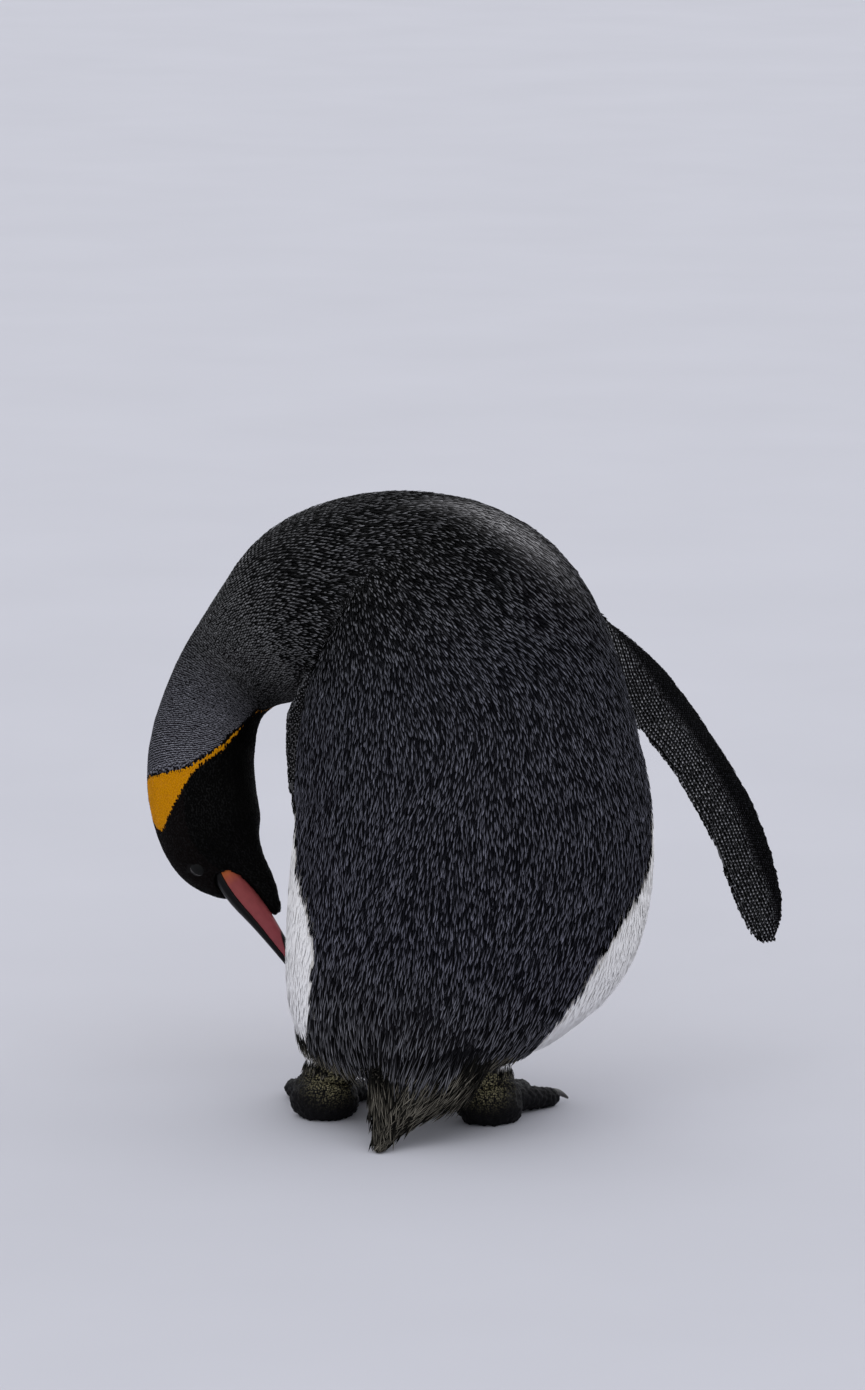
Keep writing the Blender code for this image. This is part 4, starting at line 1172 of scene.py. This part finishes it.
# %% Body coat: sizes
LENGTHS = (  # metres along the body, metres
    (0.0, 0.026), (0.05, 0.021), (0.12, 0.0140), (0.32, 0.0125), (0.42, 0.0100), (0.50, 0.0070),
    (0.52, 0.0060), (0.60, 0.0048), (0.66, 0.0032), (0.70, 0.0025), (0.78, 0.0022),
)
WIDTHS = (  # metres along the body, metres
    (0.0, 0.0020), (0.06, 0.0021), (0.15, 0.0022), (0.32, 0.0023), (0.42, 0.0022), (0.50, 0.0021),
    (0.51, 0.0030), (0.58, 0.0024), (0.64, 0.0020), (0.70, 0.0018), (0.78, 0.0015),
)
LEANS = ((0.0, 10), (0.3, 9), (0.4, 11), (0.5, 11), (0.6, 8), (0.78, 5))  # metres along the body, degrees
VARIETY = 0.15
TAIL_LONGER, TAIL_NARROWER, TAIL_PAST_TIP = 0.45, 0.25, 0.015
SKIRT_LONGER = 0.5
OVER_LEG_SHARE, HEM_SHARE, OUTSIDE_SHARE = 0.4, 0.55, 0.45
OUT_OF_BOX = 0.001
LEAN_WAVE, LEAN_TURN, LEAN_OWN = 0.012, 3, 2  # metres, degrees, degrees
PALE_LEAN, LEAN_RANGE = 0.3, (1.5, 20)
length = np.interp(along, *zip(*LENGTHS)) * (1 + chance.uniform(-VARIETY, VARIETY, len(roots)) * stray)
breadth = np.interp(along, *zip(*WIDTHS)) * (1 + chance.uniform(-VARIETY, VARIETY, len(roots)) * stray)
length *= 1 + TAIL_LONGER * drawn
breadth *= 1 - TAIL_NARROWER * drawn
length = np.where(drawn > 0.5, np.minimum(length, tip_distance * 0.9 + TAIL_PAST_TIP), length)
length *= 1 + SKIRT_LONGER * skirt * (parts != TAIL)
length[over_leg] *= OVER_LEG_SHARE
length[pale & (roots[:, 2] < HEM_HEIGHT)] *= HEM_SHARE
ruffle = ripple(roots, LEAN_WAVE) * LEAN_TURN + chance.normal(0, LEAN_OWN, len(roots))
lean = np.interp(along, *zip(*LEANS)) + ruffle * stray
lean = np.clip(np.where(pale, PALE_LEAN * lean, lean), *LEAN_RANGE)
tips = roots + flow * length[:, None]
outside = ((tips < np.array(cad_low) - OUT_OF_BOX) | (tips > np.array(cad_high) + OUT_OF_BOX)).any(1)
length[outside] *= OUTSIDE_SHARE
print("lengths from", round(float(length.min()), 4), "to", round(float(length.max()), 4), "m")

# %% [markdown]
# Dark, barred and white feathers differ in their vane and in their material, so each kind is a group of its own. A
# group with too many triangles for one mesh is shared out along the body.

# %% Body coat: one piece after another
PIECE_LIMIT = 185000
GROUPS = {  # which feathers, from which vane, with which material, and a slot name
    "back": (~pale & (parts != HEAD) & (drawn < 0.5) & ~barred, LARGE, feather_dark, "slate_plumage"),
    "tail": (~pale & (drawn >= 0.5), LARGE, feather_dark, "tail_plumage"),
    "neck": (~pale & barred, BLUNT, feather_barred, "neck_plumage"),
    "belly": (pale & (parts != HEAD), SMOOTH, feather_pale, "slate_plumage"),
    "head": ((parts == HEAD) & (pale | ~barred), SMALL, feather_hood, "hood_plumage"),
}
for title, (chosen, vane, material, slot) in GROUPS.items():
    members = np.flatnonzero(chosen)
    members = members[np.argsort(along[members])]
    shares = math.ceil(len(members) * len(vane[1]) / PIECE_LIMIT)
    for number, some in enumerate(np.array_split(members, shares)):
        rows = [part[some] for part in (roots, normals, flow, length, breadth, lean)]
        tone_pair = (root_tone[some], tip_tone[some])
        piece = coat_piece(f"coat_{title}_{number + 1}", vane, *rows, tone_pair, spots[some])
        piece.data.materials.append(material)

# %% [markdown]
# A flipper is a stiff blade, and its feathers are more like scales: small, in rows along the blade, with a pale tip
# each, and finer and plainer towards the leading edge. Their roots are laid out as a grid in the flipper's own
# measures, every second row half a step on, and dropped on the skin from both sides. The rounded edges, which the
# grid passes by, get roots by chance, and the white feathers beneath make a piece of their own.

# %% Flipper coat: where the scales grow
SCALE_ZONES = (  # share of the chord, step along, step between rows, length, width
    ((-0.3, 0.55), 0.0030, 0.0033, 0.0064, 0.0036),
    ((0.55, 1.3), 0.0022, 0.0020, 0.0040, 0.0023),
)
OVERHANG, DROP_HEIGHT = 0.004, 0.06
PAST_SHOULDER, PAST_TIP = 0.02, 0.012
skin_tree = BVHTree.FromPolygons(skin_places.tolist(), skin_corners.tolist())


def scale_roots(side, zone):
    """Roots of one zone of a flipper's scales, on both faces: places and triangles."""
    grid, mine = FLIPPER_GRIDS[side], PARTS.index("flipper_" + side)
    (first, last), along_step, row_step, _, _ = zone
    stations = grid["stations"]
    found = []
    for facing in (1, -1):
        inward = Vector(-grid["outer"] * facing)
        for station in np.arange(stations[0] - PAST_SHOULDER, stations[-1] + PAST_TIP, along_step):
            low, high = (np.interp(station, stations, grid[edge]) for edge in ("low", "high"))
            for row, across in enumerate(np.arange(low - OVERHANG, high + OVERHANG, row_step)):
                if not first <= (across - low) / (high - low) < last:
                    continue
                spot = grid["centre"] + grid["down"] * (station + (row % 2) * along_step / 2)
                origin = Vector(spot + grid["lead"] * across) - inward * DROP_HEIGHT
                hit, _, face, _ = skin_tree.ray_cast(origin, inward, 2 * DROP_HEIGHT)
                if hit is not None and tri_parts[face] == mine:
                    found.append((*hit, face))
    found = np.array(found)
    return found[:, :3], found[:, 3].astype(int)


print("rows of scales in", len(SCALE_ZONES), "zones on each flipper")

# %% [markdown]
# The grid misses the rounded edges, where the rays only graze the skin. Wherever no root is near, chance strews some,
# as it does on the body.

# %% Flipper coat: roots on the edges
EDGE_GAP, EDGE_STEP = 0.003, 0.0020


def edge_roots(side, grown):
    """Chance roots on a flipper's rounded edges, which the rows of the grid pass by."""
    tree = KDTree(len(grown))
    for i, place in enumerate(grown):
        tree.insert(place, i)
    tree.balance()
    bald = tri_parts == PARTS.index("flipper_" + side)
    bald[bald] = [tree.find(place)[2] > EDGE_GAP for place in tri_middles[bald]]
    return strew(bald, np.full(len(bald), EDGE_STEP))


print("feathers on the edges stand", 1000 * EDGE_STEP, "mm apart")

# %% [markdown]
# The scales lie along the blade and a little backwards, more so where the trailing edge frays. Both faces and the
# edges are grown alike, and then the white ones of the underside are put together in one piece.

# %% Flipper coat: grown side by side
SCATTER = 0.00012
FRAYED = 0.12  # share of the chord at the trailing edge where feathers are longer and stand out
FRAY_TURN, FRAY_LONGER = 1.5, 2.5
BACKWARDS, WAY_STRAY = 0.15, 0.03
TIP_VARIETY, TIP_BRIGHTEST = 0.2, 0.9
SCALE_LEAN, LEAN_STRAY = 7, 1.5  # degrees


def flipper_piece(name, material, rows):
    """One mesh of scale feathers from the rows of what each feather is."""
    *shape, root, tip, spots = rows
    piece = coat_piece(name, SMALL, *shape, (root, tip), spots)
    piece.data.materials.append(material)


for side, grid in FLIPPER_GRIDS.items():
    zones = [scale_roots(side, zone) for zone in SCALE_ZONES]
    grown, white_rows = [], []
    for places, faces in zones:
        normals_there = unit(skin_normals[skin_corners[faces]].mean(1))
        places = places + chance.normal(0, SCATTER, places.shape)
        grown.append((places, normals_there, skin_map[skin_loops[faces]].mean(1)))
    places, normals_there, _, spots_there = edge_roots(side, np.vstack([places for places, faces in zones]))
    grown.append((places, normals_there, spots_there))
    for number, (places, scale_normals, scale_spots) in enumerate(grown):
        zone = SCALE_ZONES[min(number, 1)]
        _, across = on_flipper(places, grid)
        fray = np.clip(FRAYED - across, 0, FRAYED)[:, None] * FRAY_TURN
        way = grid["down"][None] - (BACKWARDS + fray) * grid["lead"][None]
        way = way + chance.normal(0, WAY_STRAY, places.shape)
        root, tip = plumage(places, np.full(len(places), PARTS.index("flipper_" + side)), scale_normals)
        tip = np.minimum(tip * chance.lognormal(0, TIP_VARIETY, len(places))[:, None], TIP_BRIGHTEST)
        lengths = zone[3] * (1 + FRAY_LONGER * fray[:, 0])
        widths = np.full(len(places), zone[4])
        leans = chance.normal(SCALE_LEAN, LEAN_STRAY, len(places))
        rows = (places, scale_normals, way, lengths, widths, leans, root, tip, scale_spots)
        white = root.max(1) > PALE_FROM
        white_rows.append([row[white] for row in rows])
        flipper_piece(f"coat_flipper_{side}_{number + 1}", feather_scale, [row[~white] for row in rows])
    white_rows = [np.concatenate(row) for row in zip(*white_rows)]
    flipper_piece(f"coat_flipper_{side}_white", feather_pale, white_rows)

# %% [markdown]
# The bill is two slender halves of horn. The lower one carries a long plate down each side, rosy with an orange
# root, and the rest is near black. The solids already have the shape; a fine remesh rounds their facets off, and the
# plate's border is worked out from the distance along the bill and the height on its side.

# %% Material: the bill's horn and plate
# Horn is keratin again, but solid and worn smooth: a satin gloss, and faint flecks five to six millimetres long.
HORN_BLACK = "#060506"
PLATE_STOPS = ((0.10, "#a8581e"), (0.155, "#9c4c34"), (0.21, "#8c4342"), (0.75, "#853e45"), (1.0, "#4a2a2e"))
bill_horn, tree, shader = new_material("bill_horn_and_plate", Roughness=0.34)
shader.inputs["Specular IOR Level"].default_value = 0.12
where = add(tree, "ShaderNodeTexCoord")
plate = add(tree, "ShaderNodeAttribute", attribute_name="plate")
reach = add(tree, "ShaderNodeAttribute", attribute_name="reach")
grain = add(tree, "ShaderNodeTexNoise", {"Vector": where.outputs["Object"], "Scale": 180.0, "Detail": 3.0})
plate_run = add(tree, "ShaderNodeValToRGB", {"Fac": reach.outputs["Fac"]}, stops=PLATE_STOPS)
edge = add(tree, "ShaderNodeMapRange", {"Value": plate.outputs["Fac"], "From Min": -0.0004, "From Max": 0.0004})
horns = {0: edge.outputs["Result"], 6: (*linear(HORN_BLACK), 1), 7: plate_run.outputs["Color"]}
coloured = add(tree, "ShaderNodeMix", horns, data_type="RGBA")
fleck = add(tree, "ShaderNodeMapRange", {"Value": grain.outputs["Fac"], "To Min": 0.82, "To Max": 1.12})
dyed = add(tree, "ShaderNodeVectorMath", {0: coloured.outputs[2], 3: fleck.outputs["Result"]}, operation="SCALE")
tree.links.new(dyed.outputs["Vector"], shader.inputs["Base Color"])
bump = add(tree, "ShaderNodeBump", {"Height": grain.outputs["Fac"], "Strength": 0.12, "Distance": 0.0002})
tree.links.new(bump.outputs["Normal"], shader.inputs["Normal"])
print("bill material with", len(PLATE_STOPS), "tones along the plate")

# %% [markdown]
# Both halves are remeshed at less than a millimetre, fine enough for their narrow tips. The number that says
# where the plate lies is positive on it and negative off it, so that its border stays crisp between two points.

# %% Bill
BILL_ROOT = np.array((0.2040, -0.0570, 0.190))
BILL_TIP = np.array((0.1275, -0.0155, 0.0865))
BILL_UP = np.array((0.83, -0.23, -0.51))
bill_ahead = unit(BILL_TIP - BILL_ROOT)
bill_up = unit(BILL_UP - bill_ahead * (BILL_UP @ bill_ahead))
bill_side = np.cross(bill_up, bill_ahead)
PLATE_FOOT = (  # share of the way to the tip, height of the plate's lower border
    (0, -0.010), (0.06, -0.0145), (0.25, -0.0150), (0.6, -0.0095), (0.8, -0.001),
)
PLATE_END, PLATE_NARROWS, PLATE_APART = 0.80, 0.05, 0.0012
NO_PLATE = -0.01
for half in ("bill_upper", "bill_lower"):
    horn = melted((half,), half.replace("bill", "horn"), voxel=0.0008, rounds=5, swell=0.0003)
    places, corners = arrays(horn)
    away = places - BILL_ROOT
    reach_values = away @ bill_ahead / np.linalg.norm(BILL_TIP - BILL_ROOT)
    if half == "bill_lower":
        plate_values = away @ bill_up - np.interp(reach_values, *zip(*PLATE_FOOT))
        plate_values = np.minimum(plate_values, (PLATE_END - reach_values) * PLATE_NARROWS)
        plate_values = np.minimum(plate_values, np.abs(away @ bill_side) - PLATE_APART)
    else:
        plate_values = np.full(len(places), NO_PLATE)
    set_numbers(horn, "plate", plate_values)
    set_numbers(horn, "reach", reach_values)
    select_only(horn)
    bpy.ops.object.shade_smooth()
    horn.data.materials.append(bill_horn)
    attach(horn, "root")
    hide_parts(half)
    print(horn.name, len(corners), "triangles")

# %% [markdown]
# The eyes are nearly shut. Each is a dark ball with a brown iris, and two lids, cut from a slightly larger ball,
# leave a slit of less than a millimetre between their pale rims.

# %% Materials: eye and eyelids
# A live eye is wet, so it mirrors the lights sharply. The lids are dry and almost black, creased every millimetre.
IRIS_STOPS = ((0.0, "#020202"), (0.30, "#030202"), (0.34, "#2a1a10"), (0.62, "#1c100a"), (0.68, "#0c0908"))
LID_BLACK, LID_RIM = "#050505", "#8a8587"
eye_glass, tree, shader = new_material("wet_eye", Roughness=0.06)
where = add(tree, "ShaderNodeAttribute", attribute_name="off_axis")
iris = add(tree, "ShaderNodeValToRGB", {"Fac": where.outputs["Fac"]}, stops=IRIS_STOPS)
tree.links.new(iris.outputs["Color"], shader.inputs["Base Color"])
lid_skin, tree, shader = new_material("eyelid_skin", Roughness=0.55)
shader.inputs["Specular IOR Level"].default_value = 0.15
rim = add(tree, "ShaderNodeAttribute", attribute_name="rim")
where = add(tree, "ShaderNodeTexCoord")
crease = add(tree, "ShaderNodeTexNoise", {"Vector": where.outputs["Object"], "Scale": 900.0, "Detail": 2.0})
lid_tones = {0: rim.outputs["Fac"], 6: (*linear(LID_BLACK), 1), 7: (*linear(LID_RIM), 1)}
lid_tone = add(tree, "ShaderNodeMix", lid_tones, data_type="RGBA")
tree.links.new(lid_tone.outputs[2], shader.inputs["Base Color"])
bump = add(tree, "ShaderNodeBump", {"Height": crease.outputs["Fac"], "Strength": 0.5, "Distance": 0.0002})
tree.links.new(bump.outputs["Normal"], shader.inputs["Normal"])
print("eye with", len(IRIS_STOPS), "tones from pupil to white")

# %% [markdown]
# A lid could be sculpted, but a real one slides over the ball of the eye, so a piece of a slightly larger ball is
# the truer start. It is cut along the slit and behind the eye's middle, and gets its thickness outwards.

# %% One lid
LID_THICK, LID_CLEAR = 0.0007, 0.0006
LID_BEHIND = 0.002  # how far behind the eye's middle the lids begin
SLIT_HALF, SLIT_FLARE = 0.0004, 0.12
RIM_WIDTH = 0.0006
FOLD_ANGLE = 40  # degrees: sharper edges stay sharp


def eyelid(name, centre, out, way):
    """One lid, cut from a ball round the eye; way points from the slit over the lid."""
    bpy.ops.object.select_all(action="DESELECT")
    bpy.ops.mesh.primitive_uv_sphere_add(segments=64, ring_count=40, radius=EYE_RADIUS + LID_CLEAR, location=centre)
    lid = bpy.context.object
    lid.name = name
    bpy.ops.object.transform_apply(location=True, rotation=True, scale=True)
    bpy.ops.object.mode_set(mode="EDIT")
    bpy.ops.mesh.select_all(action="SELECT")
    cut = centre + way * SLIT_HALF
    slope = unit(way + out * SLIT_FLARE)
    bpy.ops.mesh.bisect(plane_co=cut, plane_no=slope, clear_inner=True)
    bpy.ops.mesh.select_all(action="SELECT")
    bpy.ops.mesh.bisect(plane_co=centre - out * LID_BEHIND, plane_no=out, clear_inner=True)
    bpy.ops.object.mode_set(mode="OBJECT")
    apply_modifier(lid, "SOLIDIFY", thickness=LID_THICK, offset=1)
    places, _ = arrays(lid)
    gap_distance = (places - cut) @ slope
    set_numbers(lid, "rim", np.clip(1 - gap_distance / RIM_WIDTH, 0, 1))
    bpy.ops.object.shade_smooth_by_angle(angle=math.radians(FOLD_ANGLE))
    lid.data.materials.append(lid_skin)
    return lid


print("the lids leave a slit of", 2000 * SLIT_HALF, "mm")

# %% [markdown]
# The ball of the eye has the size and place of its solid. The iris needs no mesh of its own: each point knows its
# angle from the way the eye looks, and the material turns that into pupil, iris and dark rim.

# %% Eyes and lids
for side, (centre, _, out, up) in EYES.items():
    bpy.ops.object.select_all(action="DESELECT")
    bpy.ops.mesh.primitive_uv_sphere_add(segments=48, ring_count=24, radius=EYE_RADIUS, location=centre)
    eye = bpy.context.object
    eye.name = "eyeball_" + side
    bpy.ops.object.transform_apply(location=True, rotation=True, scale=True)
    bpy.ops.object.shade_smooth()
    places, _ = arrays(eye)
    off = np.arccos(np.clip(unit(places - centre) @ out, -1, 1)) / (math.pi / 2)
    set_numbers(eye, "off_axis", off)
    eye.data.materials.append(eye_glass)
    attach(eye, "root")
    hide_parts("eye_" + side)
    for name, sign in (("upper", 1), ("lower", -1)):
        lid = eyelid(f"eyelid_{name}_{side}", centre, out, up * sign)
        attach(lid, "root")
print("two eyes with four lids")

# %% [markdown]
# The claws are blunt black hooks. Each one is the solid itself, merged and rounded by a subdivision surface.

# %% Claws
# Horn, scratched satin by the ground, with cloudy streaks of grey about two millimetres wide.
STREAK = 0.002
claw_horn, tree, shader = new_material("claw_horn", Roughness=0.38)
where = add(tree, "ShaderNodeTexCoord")
streak = add(tree, "ShaderNodeTexNoise", {"Vector": where.outputs["Object"], "Scale": 1 / STREAK, "Detail": 3.0})
greys = {0: streak.outputs["Fac"], 6: (*linear("#141213"), 1), 7: (*linear("#3b3733"), 1)}
claw_tone = add(tree, "ShaderNodeMix", greys, data_type="RGBA")
tree.links.new(claw_tone.outputs[2], shader.inputs["Base Color"])
for node_name in [name for name in nodes if name.startswith("claw_")]:
    claw = copy_of((node_name,), node_name.replace("claw", "talon"))
    apply_modifier(claw, "SUBSURF", levels=2, render_levels=2)
    bpy.ops.object.shade_smooth()
    claw.data.materials.append(claw_horn)
    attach(claw, "root")
    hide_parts(node_name)
print("six claws")
